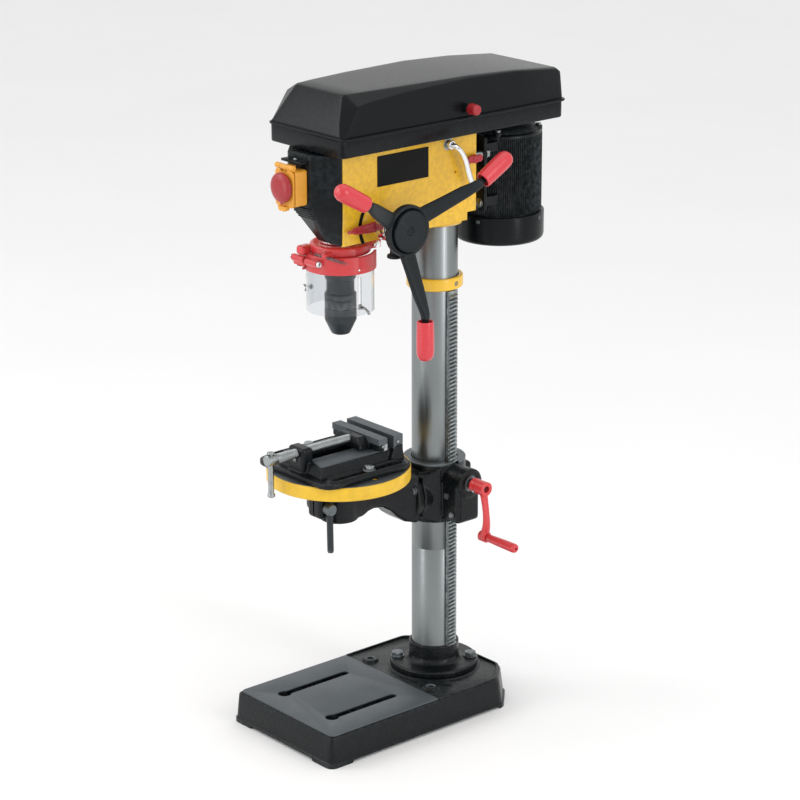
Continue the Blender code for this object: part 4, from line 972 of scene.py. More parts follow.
def build_vise():
    outline = rounded_path([(-87, -284), (87, -284), (87, -112), (-87, -112)], 26, 9)
    flange = slab(outline, 425.8, 433.4)
    pieces = [
        flange,
        loft(
            [
                [(x, y, z) for x, y in ((-w, f), (w, f), (w, b), (-w, b))] for w, f, b,
                z in ((56, -270, -112, 430), (51, -266, -111.5, 438), (47.6, -263, -111.5, 447))
            ]
        ),
        rounded(box((-18, -274, 430), (18, -252.5, 470.5)), 5, 5),
        loft(
            [
                [(x, y, z) for x, y in ((-w, f), (w, f), (w, -111.2), (-w, -111.2))] for w, f,
                z in ((61, -146, 428), (57, -134, 440), (54.6, -126, 456), (54.6, -126, 468.6))
            ]
        )
    ]
    for side in (-1, 1):
        rim = slab(slot_outline(side * 71, -198, 72, 12.5), 430, 436.6)
        pieces.append(cut(rim, slab(slot_outline(side * 71, -198, 67, 8.4), 420, 450)))
    body = cast(merge(*pieces), 1.2, 5, 0.1)
    cut(body, box((-12, -251, 436), (12, -129.4, 480)), rod((0, -300, 461), (0, -240, 461), 7.9))
    for side in (-1, 1):
        cut(body, slab(slot_outline(side * 71, -198, 62, 5.5), 400, 460))
    place(body, "vise_casting", "table", "black_cast", "vise_body", smooth=45)
    for side, name in ((-1, "left"), (1, "right")):
        inner, outer = side * 12.2, side * 46.8
        way = slab(
            [(inner, -255), (outer - side * 3, -262), (outer, -259), (outer, -129.3), (inner, -129.3)],
            445.5, 450
        )
        place(rounded(way, 0.6, 2, 30), f"vise_way_{name}", "table", "ground_iron")
        head = turn_about(bolt((side * 71, -191, 434.6), UP, 13, 7.4, 9.6), 17 * side, (side * 71, -191, 0))
        place(head, f"vise_bolt_head_{name}", "table", "zinc", f"vise_bolt_{name}")
    place(jaw_plate(-129.2, -111.2, 446, 470), "fixed_jaw_plate", "table", "ground_iron")
    place(bolt((0, -274, 452), FRONT, 7, 1.6), "vise_boss_plug", "table", "dark_steel")
    slide = cast(
        merge(
            rounded(box((-54.6, -157.6, 450.6), (54.6, -148, 463)), 2, 3),
            loft(
                [
                    [(x, y, z) for x, y in ((-w, f), (w, f), (w, -150), (-w, -150))] for w, f,
                    z in ((32, -176, 450.6), (31, -175.5, 458), (22, -172, 468.6))
                ]
            )
        ),
        0.9, 4, 0.08
    )
    cut(slide, rod((0, -180, 461), (0, -164, 461), 7.9))
    place(slide, "vise_slide", "vise_jaw", "black_cast", "movable_jaw", smooth=45)
    place(jaw_plate(-158, -141.5, 460.4, 470), "movable_jaw_top", "vise_jaw", "ground_iron")
    place(jaw_plate(-147.8, -141.4, 450.6, 460.2), "movable_jaw_face", "vise_jaw", "rack_steel")
    for side, name in ((-1, "left"), (1, "right")):
        place(
            pan_screw((side * 54.9, -150, 457), (side, 0, 0), 3.1, 1.9), f"jaw_screw_{name}", "vise_jaw",
            "zinc"
        )
        place(
            pan_screw((side * 55, -121, 459), (side, 0, 0), 3.1, 1.9), f"fixed_jaw_screw_{name}", "table",
            "zinc"
        )
    thread = screw_thread((0, -310, 461), BACK, 145, 7.4, 3.2, 1.1)
    place(thread, "vise_screw_thread", "vise_screw", "zinc", "vise_screw", smooth=60)
    head = turned(
        [(0, 328), (7.2, 328), (8.4, 327), (8.4, 311), (7, 309.6), (0, 309.6)], VISE_SCREW, FRONT, MEDIUM,
        0.5
    )
    cut(head, rod((0, -319.6, 440), (0, -319.6, 480), 5))
    place(head, "vise_screw_head", "vise_screw", "zinc")
    bar = turned(
        [
            (0, 473.4), (4.8, 473.4), (5.8, 472.2), (5.8, 471), (4.5, 470), (4.5, 409), (5.8, 408),
            (5.8, 404.8), (4.8, 403.6), (0, 403.6)
        ],
        (0, -319.6, 0), UP, MEDIUM, 0.5
    )
    place(bar, "vise_tommy_bar", "vise_bar", "zinc", "vise_bar")


def jaw_plate(front, back, low, high):
    """A jaw plate whose two long faces carry fine upright serrations."""
    count = 110
    points = []
    for y, turn in ((front, 1), (back, -1)):
        for n in range(count + 1):
            x = (-54.8 + 109.6 * n / count) * turn
            points.append((x, y + (0.35 if n % 2 else 0) * turn))
    return slab(points, low, high)


# ---------------------------------------------------------------- head


def from_side(points, low_x, high_x):
    """A plate from an outline of (forward, height) points, seen from the handles' side."""
    matrix = Matrix(((0, 0, 1, 0), (-1, 0, 0, 0), (0, 1, 0, 0), (0, 0, 0, 1)))
    return slab(points, low_x, high_x, matrix)


def corner_cutter(shift=0.0):
    """Takes the head's lower front corner off on a slant, on the side away from the handles."""
    along, across = Vector((0.652, 0.758, 0)).normalized(), Vector((-0.758, 0.652, 0)).normalized()
    outline = ((-300, 833), (-208.5 - shift, 833), (-162 - shift, 769), (-162 - shift, 700), (-300, 700))
    return loft(
        [
            [along * reach + across * side + Vector((0, 0, z)) for reach, z in outline]
            for side in (-200, 200)
        ]
    )


def build_head():
    body = slab(
        rounded_path([(-57, -225.6), (57, -225.6), (57, 34), (-57, 34)], [2.5, 2.5, 5, 5], 5), 779, 914.3
    )
    boss = turned([(0, 850), (47, 850), (47, 773), (44.5, 770.4), (0, 770.4)], steps=FINE)
    feed = turned(
        [(0, 61.6), (20.6, 61.6), (22, 60.4), (22, -61), (20, -62.6), (0, -62.6)], (0, FEED_Y, FEED_Z),
        RIGHT, FINE
    )
    join(body, boss, feed)
    cut(
        body, box((-50, -112, 760), (50, -50, 868)), box((-70, 14, 760), (70, 60, 791)),
        rod((0, 0, 700), (0, 0, 903.4), 35.4, FINE),
        rod((0, SPINDLE_Y, 700), (0, SPINDLE_Y, 1000), 26.5, FINE),
        rod((-80, FEED_Y, FEED_Z), (80, FEED_Y, FEED_Z), 8.6),
        rod((54.5, -10, 856), (60, -10, 856), 2.4, SMALL)
    )
    for side in (-1, 1):
        cut(body, rod((side * 46, -25, 872), (side * 46, 55, 872), 7.5))
    cut(body, rod((44, 22, 872), (70, 22, 872), 4.5), rod((30, -24, 900), (70, -24, 900), 6.2))
    cut(body, corner_cutter())
    place(rounded(body, 1.1, 3, 40), "head_body", "stand", "yellow_paint", "head_casting", smooth=35)
    for side, name in ((-1, "left"), (1, "right")):
        edge = slab(
            rounded_path([(-161, 857), (-63, 857), (-63, 902.5), (-161, 902.5)], 1.2, 3), 57.0, 57.75,
            Matrix(((0, 0, side, 0), (1, 0, 0, 0), (0, 1, 0, 0), (0, 0, 0, 1)))
        )
        place(rounded(edge, 0.2, 1, 50), f"head_panel_{name}", "stand", "panel_black")
    socket = turned(
        [(4.4, 62), (6, 62), (6.8, 61.2), (6.8, 57.6), (9.2, 57.2), (4.4, 57.2)], TENSION_SHAFT, RIGHT,
        MEDIUM
    )
    place(socket, "lever_socket", "stand", "zinc")
    for number, (y, z) in enumerate(((-140, 884), (20, 884)), 1):
        place(bolt((-57, y, z), LEFT, 11, 5, 7.4), f"head_side_bolt_{number}", "stand", "dark_steel")
    place(pan_screw((0, 46.6, 820), BACK, 6, 3), "head_rear_screw", "stand", "zinc")


def nose_front(z):
    """Where the nose cover's front stands at a height: upright above, slanted back below."""
    return -261 + max(0, 833 - z) * 31 / 53


def build_nose():
    sections = []
    for z, front, half, corner in (
        (912.5, -257, 27, 57), (910, -261, 25, 57), (835, -261, 25, 57), (830, -259.6, 24.6, 57),
        (782.5, -231.6, 20.4, 55), (780, -229.8, 19, 54)
    ):
        outline = rounded_path(
            [
                (-half, front), (half, front), (corner, -229), (corner, -226.2), (-corner, -226.2),
                (-corner, -229)
            ],
            [7, 7, 3, 0, 0, 3], 6
        )
        sections.append(lifted(outline, z))
    nose = cut(loft(sections), corner_cutter())
    for n in range(5):
        z = 816.6 + 4 * n
        depth = nose_front(z) - 1.6
        rib = slab(
            rounded_path([(-24, depth), (24, depth), (44, -232), (-44, -232)], [5, 5, 2, 2], 5), z, z + 1.6
        )
        join(nose, rounded(cut(rib, corner_cutter(2)), 0.4, 1, 50))
    place(rounded(nose, 0.5, 2, 40), "nose_shell", "stand", "black_sheet", "nose_cover", smooth=25)
    bracket = rounded(box((-22, -275, 900.6), (22, -256, 904.4)), 1, 3)
    place(bracket, "nose_bracket", "stand", "black_sheet")
    place(pan_screw((0, -266, 904.4), UP, 3, 2.2), "nose_bracket_screw", "stand", "zinc")


def build_switch():
    upright = Matrix(((1, 0, 0, 0), (0, 0, -1, 0), (0, 1, 0, 0), (0, 0, 0, 1)))
    shell = slab(
        rounded_path(
            [(-20, 839.4), (20, 839.4), (20, 890), (16, 892), (-16, 892), (-20, 890)], [4, 4, 2, 2, 2, 2], 5
        ),
        261.4, 282.4, upright
    )
    join(
        shell, box((-7.4, -283.8, 884), (7.4, -271.4, 898)),
        rod((-7.6, SWITCH_HINGE_Y, SWITCH_HINGE_Z), (7.6, SWITCH_HINGE_Y, SWITCH_HINGE_Z), 3.9, MEDIUM)
    )
    cut(shell, rod((0, -295, START_BUTTON_Z), (0, -272.4, START_BUTTON_Z), 7.5))
    place(rounded(shell, 0.7, 3, 40), "switch_housing", "stand", "yellow_plastic", "switch_box")
    start = turned(
        [(0, 8), (5.4, 8), (6.9, 7), (6.9, 0), (0, 0)], (0, -275, START_BUTTON_Z), FRONT, MEDIUM, 0.8
    )
    place(start, "start_key", "start_button", "green_plastic", "start_button")
    flap = slab(
        rounded_path(
            [(-20, 838.5), (20, 838.5), (20, 889), (16, 893), (-16, 893), (-20, 889)], [5, 5, 3, 3, 3, 3], 5
        ),
        284, 287, upright
    )
    wave = [(-9, 839.6), (-8, 834.4), (-4, 832.2), (0, 833.6), (4, 832.2), (8, 834.4), (9, 839.6)]
    lip = loft([[(x, y, z) for x, z in wave] for y in (-284.2, -292)])
    join(
        flap,
        rod((-19.4, SWITCH_HINGE_Y, SWITCH_HINGE_Z), (-8.2, SWITCH_HINGE_Y, SWITCH_HINGE_Z), 4.1, MEDIUM),
        rod((8.2, SWITCH_HINGE_Y, SWITCH_HINGE_Z), (19.4, SWITCH_HINGE_Y, SWITCH_HINGE_Z), 4.1, MEDIUM), lip
    )
    cut(
        flap, rod((0, -298, STOP_BUTTON_Z), (0, -278, STOP_BUTTON_Z), 9.5),
        box((-8, -293, 890), (8, -278, 905))
    )
    place(rounded(flap, 0.55, 3, 35), "switch_cover", "switch_flap", "yellow_plastic", "switch_flap")
    stop = turned(
        [
            (0, 13), (7, 12.9), (13, 12.2), (18, 10.4), (21, 8.4), (22, 6.6), (22, 3.6), (20.8, 3.1),
            (9, 3.1), (9, -1.5), (0, -1.5)
        ],
        (0, -287, STOP_BUTTON_Z), FRONT, FINE, 1
    )
    place(stop, "stop_mushroom", "stop_button", "red_plastic", "stop_button", smooth=60)
    tab = slab(rounded_path([(-5.5, 850), (5.5, 850), (0, 841.4)], [1, 1, 1.4], 4), 290.4, 293.4, upright)
    place(rounded(tab, 0.6, 2, 40), "stop_tab", "stop_button", "red_plastic")


# ---------------------------------------------------------------- quill, guard and chuck


def curved_plate(inner, outer, start, end, low, high, corner=0.0, steps=80):
    """Part of a tube round the spindle, its lower corners rounded. Angles from +X, in degrees."""
    shape = bmesh.new()
    columns = []
    for n in range(steps + 1):
        angle = math.radians(start + (end - start) * n / steps)
        along = min(n, steps - n) / steps * math.radians(end - start) * outer
        drop = corner - math.sqrt(max(0, corner**2 - (corner - along) ** 2)) if along < corner else 0
        columns.append(
            [
                shape.verts.new((r * math.cos(angle), r * math.sin(angle) + SPINDLE_Y, z)) for r,
                z in ((outer, low + drop), (outer, high), (inner, high), (inner, low + drop))
            ]
        )
    for first, second in zip(columns, columns[1:]):
        for k in range(4):
            shape.faces.new((first[k], second[k], second[(k + 1) % 4], first[(k + 1) % 4]))
    shape.faces.new(columns[0])
    shape.faces.new(columns[-1])
    return from_bmesh(shape)


def build_quill():
    quill = turned(
        [
            (9.6, 905), (25.4, 905), (26, 904), (26, 771), (27.4, 770), (28, 769.4), (28, 757.6),
            (27, 756.6), (24.4, 755.4), (24.4, 745.6), (23.6, 745), (9.6, 745)
        ],
        SPINDLE, steps=FINE
    )
    for n in range(-1, 12):
        z = FEED_Z + n * 2 * math.pi
        cut(
            quill,
            loft(
                [
                    [(x, y, z + s) for y, s in ((-164, -1.5), (-150, -6.1), (-150, 6.1), (-164, 1.5))]
                    for x in (-12, 12)
                ]
            )
        )
    place(quill, "quill_sleeve", "quill", "steel", "quill", smooth=30)
    collar = turned(
        [(26.3, 778.6), (30.4, 778.6), (31.4, 777.8), (31.4, 771.4), (30.4, 770.4), (26.3, 770.4)], SPINDLE,
        radius=0.5
    )
    place(collar, "quill_stop_ring", "quill", "chrome")
    ring = turned(
        [(28.3, 770), (41, 770), (44, 768.6), (45, 766), (45, 756), (44, 755), (28.3, 755)], SPINDLE,
        steps=FINE, radius=0.8
    )
    ear = rounded(box((13.6, -152, 757.6), (31, -131, 770.6)), 2.2, 3)
    lug_left = rounded(box((-31, -244, 754), (-13, -221, 768)), 5, 5)
    lug_right = rounded(box((21, -238, 756), (28.5, -219, 765)), 3, 4)
    clamp = cast(merge(ring, ear, lug_left, lug_right), 0.7, 4)
    cut(
        clamp, rod((-60, -241, 748), (60, -241, 748), 6.1), box((20.6, -160, 750), (23.2, -120, 780)),
        rod((0, SPINDLE_Y, 740), (0, SPINDLE_Y, 790), 28.4, FINE)
    )
    place(clamp, "guard_clamp", "quill", "coral_plastic", "guard_clamp_ring", smooth=45)
    place(bolt((31, -140, 764), RIGHT, 8, 4, 5), "guard_clamp_bolt", "quill", "chrome")
    place(bolt((13.6, -140, 764), LEFT, 8, 4, 5), "guard_clamp_nut", "quill", "chrome")
    place(pan_screw((31, -146, 764), (0, -1, 0), 3.4, 2.2), "guard_lug_screw", "quill", "chrome")


def build_guard():
    band = curved_plate(51, 53.4, -230, 50, 731, 757)
    raised = curved_plate(49, 53.4, -228, 48, 753.8, 757.2)
    barrel = rod((-37.6, -241, 748), (-12.4, -241, 748), 5.6, MEDIUM)
    barrel_right = rod((-8, -241, 748), (17.6, -241, 748), 5.2, MEDIUM)
    bridge = rounded(box((-37, -243.5, 738), (-13, -229, 751)), 2, 3)
    ledge = rounded(box((-14, -242, 741), (17, -231, 749.5)), 2, 3)
    ring = cast(merge(band, raised, barrel, barrel_right, bridge, ledge), 0.75, 3)
    cut(
        ring, rod((-60, -241, 748), (60, -241, 748), 2.6),
        rod((0, SPINDLE_Y, 700), (0, SPINDLE_Y, 753.4), 51, FINE)
    )
    cut(ring, box((-60, -160, 757.2), (19, -250, 790)))
    place(ring, "guard_band", "guard", "coral_plastic", "guard_ring", smooth=45)
    pin = turned(
        [
            (0, 22), (4.2, 22), (4.6, 21.4), (4.6, 19), (2.5, 18.6), (2.5, -40), (4.4, -40.4), (4.4, -43),
            (0, -43)
        ],
        GUARD_HINGE, RIGHT, MEDIUM, 0.4
    )
    place(pin, "guard_hinge_pin", "guard", "chrome")
    place(bolt((-24, -238, 738), (0, 0, -1), 10.5, 6, 6.6), "guard_hinge_nut", "guard", "chrome")
    start, end = Vector((13, -241.5, 762.4)), Vector((51, -217.5, 752))
    coil = spring(start, end, 1.9, 0.48, 26, 6)
    hooks = merge(
        coil,
        sweep(
            smooth_path(
                [
                    start + Vector((-2, 2.6, 1)), start + Vector((-1, 0.4, 0.6)),
                    start + Vector((0.4, 0.4, 0))
                ],
                5
            ),
            0.6, 8
        ),
        sweep(smooth_path([end, end + Vector((2, 1.2, -0.6)), end + Vector((3.2, 3.4, -1))], 5), 0.6, 8)
    )
    place(hooks, "guard_spring", "guard", "dark_steel")
    angle = math.radians(-8)
    spot = Vector((53.2 * math.cos(angle), SPINDLE_Y + 53.2 * math.sin(angle), 737.5))
    place(
        pan_screw(spot, (math.cos(angle), math.sin(angle), 0), 1.9, 1.2, slot=False), "guard_rivet",
        "guard", "chrome"
    )
    shield = curved_plate(49, 50.4, -230, 50, 668, 739.5, corner=9, steps=110)
    slot_angle = math.radians(-5)
    slot = slab(
        rounded_path([(-2.3, 677), (2.3, 677), (2.3, 727), (-2.3, 727)], 2.2, 5), 40, 60,
        Matrix.Translation(SPINDLE) @ Matrix.Rotation(slot_angle, 4, "Z") @ Matrix(
            ((0, 0, 1, 0), (1, 0, 0, 0), (0, 1, 0, 0), (0, 0, 0, 1))
        )
    )
    cut(shield, slot)
    place(shield, "shield_sheet", "guard_shield", "clear", "guard_shield", smooth=30)
    for name, degrees, z, flip in (("right", -5, 681, 1), ("left", -158, 694, -1)):
        turn = math.radians(degrees)
        out = Vector((math.cos(turn), math.sin(turn), 0))
        side = Vector((-out.y, out.x, 0))
        spot = Vector(SPINDLE) + out * 50.6 + Vector((0, 0, z))
        stem = merge(
            rod(spot - out * 4, spot + out * 9, 2, MEDIUM),
            rod(spot - out * 0.2, spot + out * 2.6, 4.4, MEDIUM, 3.4)
        )
        wing = sweep(
            smooth_path(
                [
                    spot + out * 3 + side * 2.4 * flip,
                    spot + out * 7 + side * 4.2 * flip - Vector((0, 0, 2)),
                    spot + out * 11 + side * 6.4 * flip - Vector((0, 0, 6)),
                    spot + out * 13 + side * 7.2 * flip - Vector((0, 0, 10))
                ],
                6
            ),
            [1.9] * 12 + [2.3] * 6 + [1.6], 20, 0.6
        )
        wing_two = sweep(
            smooth_path(
                [
                    spot + out * 3 - side * 2.2 * flip,
                    spot + out * 6 - side * 4 * flip + Vector((0, 0, 1)),
                    spot + out * 8 - side * 5.4 * flip + Vector((0, 0, 4))
                ],
                6
            ),
            1.7, 20, 0.6
        )
        place(merge(stem, wing, wing_two), f"shield_wing_screw_{name}", "guard_shield", "rack_steel")


def build_spindle():
    spindle = turned(
        [
            (0, 984), (6.6, 984), (7.5, 983), (7.5, 912), (9, 911), (9, 745), (8.8, 742.4), (15.6, 741.6),
            (16, 741), (16, 735.6), (15.4, 735), (10, 733.4), (10, 705), (9, 703), (0, 703)
        ],
        SPINDLE, steps=FINE
    )
    place(spindle, "spindle_bar", "spindle", "steel", "spindle", smooth=30)

    def knurl(turn, height, radius):
        if 693.6 < height < 707.4 and radius > 21:
            return 0.22 * math.sin(turn * 60)
        return 0

    body = turned(
        [
            (10.4, 727), (18.4, 727), (21.6, 726.2), (23.2, 724.4), (23.4, 723), (23.4, 716), (22.6, 714.6),
            (20.8, 712.6), (20.6, 711), (20.6, 694.6), (21.2, 693.4), (23.2, 692), (23.6, 691),
            (23.6, 684.4), (23.2, 684), (23.2, 683.2), (23.6, 682.8), (23.6, 671.4), (23, 670.3),
            (10.4, 670.3)
        ],
        SPINDLE, steps=180, ripple=knurl
    )
    cut(
        body, *[turn_about(box((19.2, -190, 697), (26, -179, 709)), angle, SPINDLE) for angle in (-62, 118)]
    )
    place(rounded(body, 0.2, 1, 50), "chuck_shell", "spindle", "chuck_steel", "chuck_body", smooth=30)

    def grooves(turn, height, radius):
        return -0.55 * max(0, math.cos(turn * 18)) ** 8 if 651 < height < 668.4 and radius > 22 else 0

    sleeve = turned(
        [
            (11, 670), (22.8, 670), (23.6, 669), (23.7, 667), (23.7, 652.4), (23.2, 650.4), (21.6, 647),
            (15.4, 633.6), (13.6, 630.6), (11, 629.3), (9, 629), (7.6, 629.2), (7.6, 632), (11, 640)
        ],
        SPINDLE, steps=216, ripple=grooves
    )
    place(sleeve, "chuck_grip_sleeve", "chuck_sleeve", "chuck_steel", "chuck_sleeve", smooth=30)


# ---------------------------------------------------------------- feed


def build_feed():
    shaft = turned(
        [(0, 111.6), (7.4, 111.6), (8, 111), (8, -65), (7.2, -66), (0, -66)], FEED, RIGHT, MEDIUM
    )
    teeth = []
    for n in range(12):
        for turn, height in ((-0.24, 9.7), (-0.108, 13.7), (0.108, 13.7), (0.24, 9.7)):
            angle = math.tau * (n + turn) / 12
            teeth.append((height * math.cos(angle), height * math.sin(angle)))
    pinion = slab(teeth, -10, 10, Matrix.Translation(FEED) @ axis_matrix(RIGHT))
    place(merge(shaft, pinion), "feed_pinion_shaft", "feed", "steel", "feed_shaft", smooth=30)
    shapes = [
        turned(
            [
                (8.6, 111.8), (30.4, 111.8), (31.6, 113.2), (34, 115.6), (36.4, 115.8), (38, 113.6),
                (38, 105), (36, 102.6), (25, 99.4), (19, 95.4), (17.6, 94), (8.6, 94)
            ],
            FEED, RIGHT, FINE
        )
    ]
    for turn in FEED_ARM_TURNS:
        along = Vector((0, math.cos(math.radians(turn)), math.sin(math.radians(turn))))
        across = Vector((0, -along.z, along.y))
        sections = []
        for out, reach, wide, thick in (
            (104.5, 12, 14, 4), (107, 30, 14, 5.2), (113.5, 44, 13.2, 5.2), (126, 70, 11.6, 5.4),
            (138, 96, 10.2, 5.8), (145, 109, 8.8, 6.2), (148.4, 118, 7.4, 6.4), (149, 124, 6.4, 6.1)
        ):
            middle_point = Vector(FEED) + along * reach + Vector((out, 0, 0))
            square = 3.2 if reach < 105 else 2.2
            ring = []
            for k in range(32):
                angle = math.tau * k / 32
                c, s = math.cos(angle), math.sin(angle)
                scale = (abs(c) ** square + abs(s) ** square) ** (-1 / square)
                ring.append(middle_point + across * wide * c * scale + Vector((thick * s * scale, 0, 0)))
            sections.append(ring)
        shapes.append(loft(sections))
        shapes.append(
            rod(
                Vector(FEED) + along * 118 + Vector((FEED_GRIP_X, 0, 0)),
                Vector(FEED) + along * 174 + Vector((FEED_GRIP_X, 0, 0)), 5.1, MEDIUM
            )
        )
    hub = cast(merge(*shapes), 0.95, 5, 0.05)
    cut(
        hub, rod((90, FEED_Y, FEED_Z), (112.2, FEED_Y, FEED_Z), 8.4),
        rod((112.2, FEED_Y, FEED_Z), (125, FEED_Y, FEED_Z), 31.3, FINE)
    )
    place(hub, "feed_spider", "feed", "black_moulded", "feed_hub", smooth=50)
    cap = turned(
        [
            (0, 118.2), (2.2, 118.2), (2.6, 119.4), (4.6, 119.4), (5.2, 118.4), (5.6, 118.4), (6.2, 119.6),
            (7.4, 119.6), (8, 118.6), (24, 118.2), (27.4, 118.6), (28.6, 120), (29.8, 120), (30.8, 118.6),
            (31, 116.6), (31, 112.6), (0, 112.6)
        ],
        FEED, RIGHT, 128, 0.45
    )
    place(cap, "hub_cover", "feed", "black_moulded", "hub_cap", smooth=60)
    for number, turn in enumerate(FEED_ARM_TURNS, 1):
        along = Vector((0, math.cos(math.radians(turn)), math.sin(math.radians(turn))))
        start = Vector(FEED) + Vector((FEED_GRIP_X, 0, 0))
        grip = turned(
            [
                (0, 187), (4, 186.7), (8, 185.2), (11, 181.8), (12.6, 177), (13, 171), (12.9, 150),
                (12.4, 132), (12.2, 128.4), (11.6, 127.2), (10.2, 127), (9.6, 128), (9.6, 134),
                (5.4, 134.4), (5.4, 176), (0, 176)
            ],
            start, along, FINE, 0.5
        )
        place(grip, f"feed_grip_cover_{number}", "feed", "red_vinyl", f"feed_grip_{number}", smooth=60)


def build_depth_stop():
    ahead = -FEED_Y
    collar = turned(
        [
            (8.6, 92), (21.6, 92), (22.2, 91.2), (22.2, 87.4), (21.6, 86.8), (21.6, 86), (24, 85.4),
            (24, 66), (23.4, 65.4), (8.6, 65.4)
        ],
        FEED, RIGHT, 128, 0.4
    )
    cut(collar, rod((81, FEED_Y, FEED_Z - 40), (81, FEED_Y, FEED_Z - 6), 4.2))
    place(collar, "depth_collar", "depth_stop", "chrome", "depth_stop_collar", smooth=35)
    pointer = from_side(
        [
            (x, z + FEED_Z) for x,
            z in rounded_path(
                [(p[0] + ahead, p[1]) for p in arc((0, 0), 21, 22, 338, 40)] + [
                    (ahead + 50, -6), (ahead + 62, -4.6), (ahead + 64, -2.4), (ahead + 73, -2.2),
                    (ahead + 73, 2.2), (ahead + 64, 2.4), (ahead + 62, 4.6), (ahead + 50, 6)
                ],
                [0] * 41 + [3, 3, 1, 0.6, 0.6, 1, 3, 3], 4
            )
        ],
        62.6, 65
    )
    cut(pointer, rod((50, FEED_Y, FEED_Z), (80, FEED_Y, FEED_Z), 8.6))
    place(rounded(pointer, 0.5, 2, 50), "depth_arrow", "depth_stop", "red_plastic", "depth_pointer")
    knob = merge(
        turned([(0, -9), (3.6, -9), (3.6, -25), (0, -25)], (81, FEED_Y, FEED_Z), UP, MEDIUM),
        turned(
            [
                (0, -24), (6.2, -24.2), (6.9, -26), (6.4, -33), (6.9, -40), (10.4, -41.6), (11, -42.6),
                (11, -45.4), (10.2, -46.5), (0, -46.5)
            ],
            (81, FEED_Y, FEED_Z), UP, FINE, 0.6
        )
    )
    place(knob, "depth_lock_knob", "depth_lock", "black_moulded", "depth_lock_screw")
    outline = [
        (x + ahead, y + FEED_Z) for x, y in arc((0, 0), 48, -30, 33, 40) + arc((0, 0), 43, 33, -30, 40)
    ]
    place(
        rounded(from_side(outline, 57.3, 58.8), 0.2, 1, 50), "depth_dial", "stand", "panel_black",
        "depth_scale"
    )
    cap = turned(
        [
            (8.8, -64), (29, -64), (30, -65), (30, -77), (28.6, -79.4), (26, -80), (15, -80), (14, -78.6),
            (8.8, -78.6)
        ],
        FEED, RIGHT, FINE, 0.5, ripple=lambda turn, height,
        radius: 0.35 * math.cos(turn * 24) if radius > 28.5 else 0
    )
    place(cap, "spring_housing", "stand", "black_moulded", "return_spring_cap")
    place(bolt((-78.8, FEED_Y, FEED_Z), LEFT, 17, 6, 11), "spring_nut", "feed", "zinc")


# ---------------------------------------------------------------- drive


def build_pulleys():
    def profile(steps, bore):
        points = [(bore, 979.5)]
        for n in reversed(range(5)):
            top = 922 + 11.5 * (n + 1)
            radius = steps[n]
            points += [
                (radius - 0.4, top), (radius, top - 0.8), (radius, top - 2.4), (radius - 6.4, top - 5.2),
                (radius - 6.4, top - 7.4), (radius, top - 10.2), (radius, top - 11.4)
            ]
        return points + [(bore, 922)]

    front = turned(profile((56, 50, 44, 38, 32), 7.9), SPINDLE, steps=FINE)
    place(front, "spindle_pulley_steps", "spindle_drive", "aluminium", "spindle_pulley", smooth=25)
    rear = turned(profile((22, 28, 34, 40, 46), 7.4), MOTOR, steps=FINE)
    place(rear, "motor_pulley_steps", "motor_drive", "aluminium", "motor_pulley", smooth=25)
    shaft = turned(
        [(0, 983), (6.4, 983), (7, 982.4), (7, 894), (6.4, 893.4), (0, 893.4)], MOTOR, steps=MEDIUM
    )
    place(shaft, "motor_shaft_bar", "motor_drive", "steel", "motor_shaft")
    outlines = []
    for proud in (0.5, -5.2):
        outlines.append(
            arc((0, SPINDLE_Y), 44 + proud, 180, 360, 48) + arc((0, MOTOR_Y), 34 + proud, 0, 180, 48)
        )
    sections = []
    for (ox, oy), (ix, iy) in zip(*outlines):
        sections.append([(ox, oy, 953.4), (ox, oy, 948.4), (ix, iy, 949.4), (ix, iy, 952.4)])
    place(loft(sections, closed=True), "drive_v_belt", "stand", "rubber", "drive_belt", smooth=30)


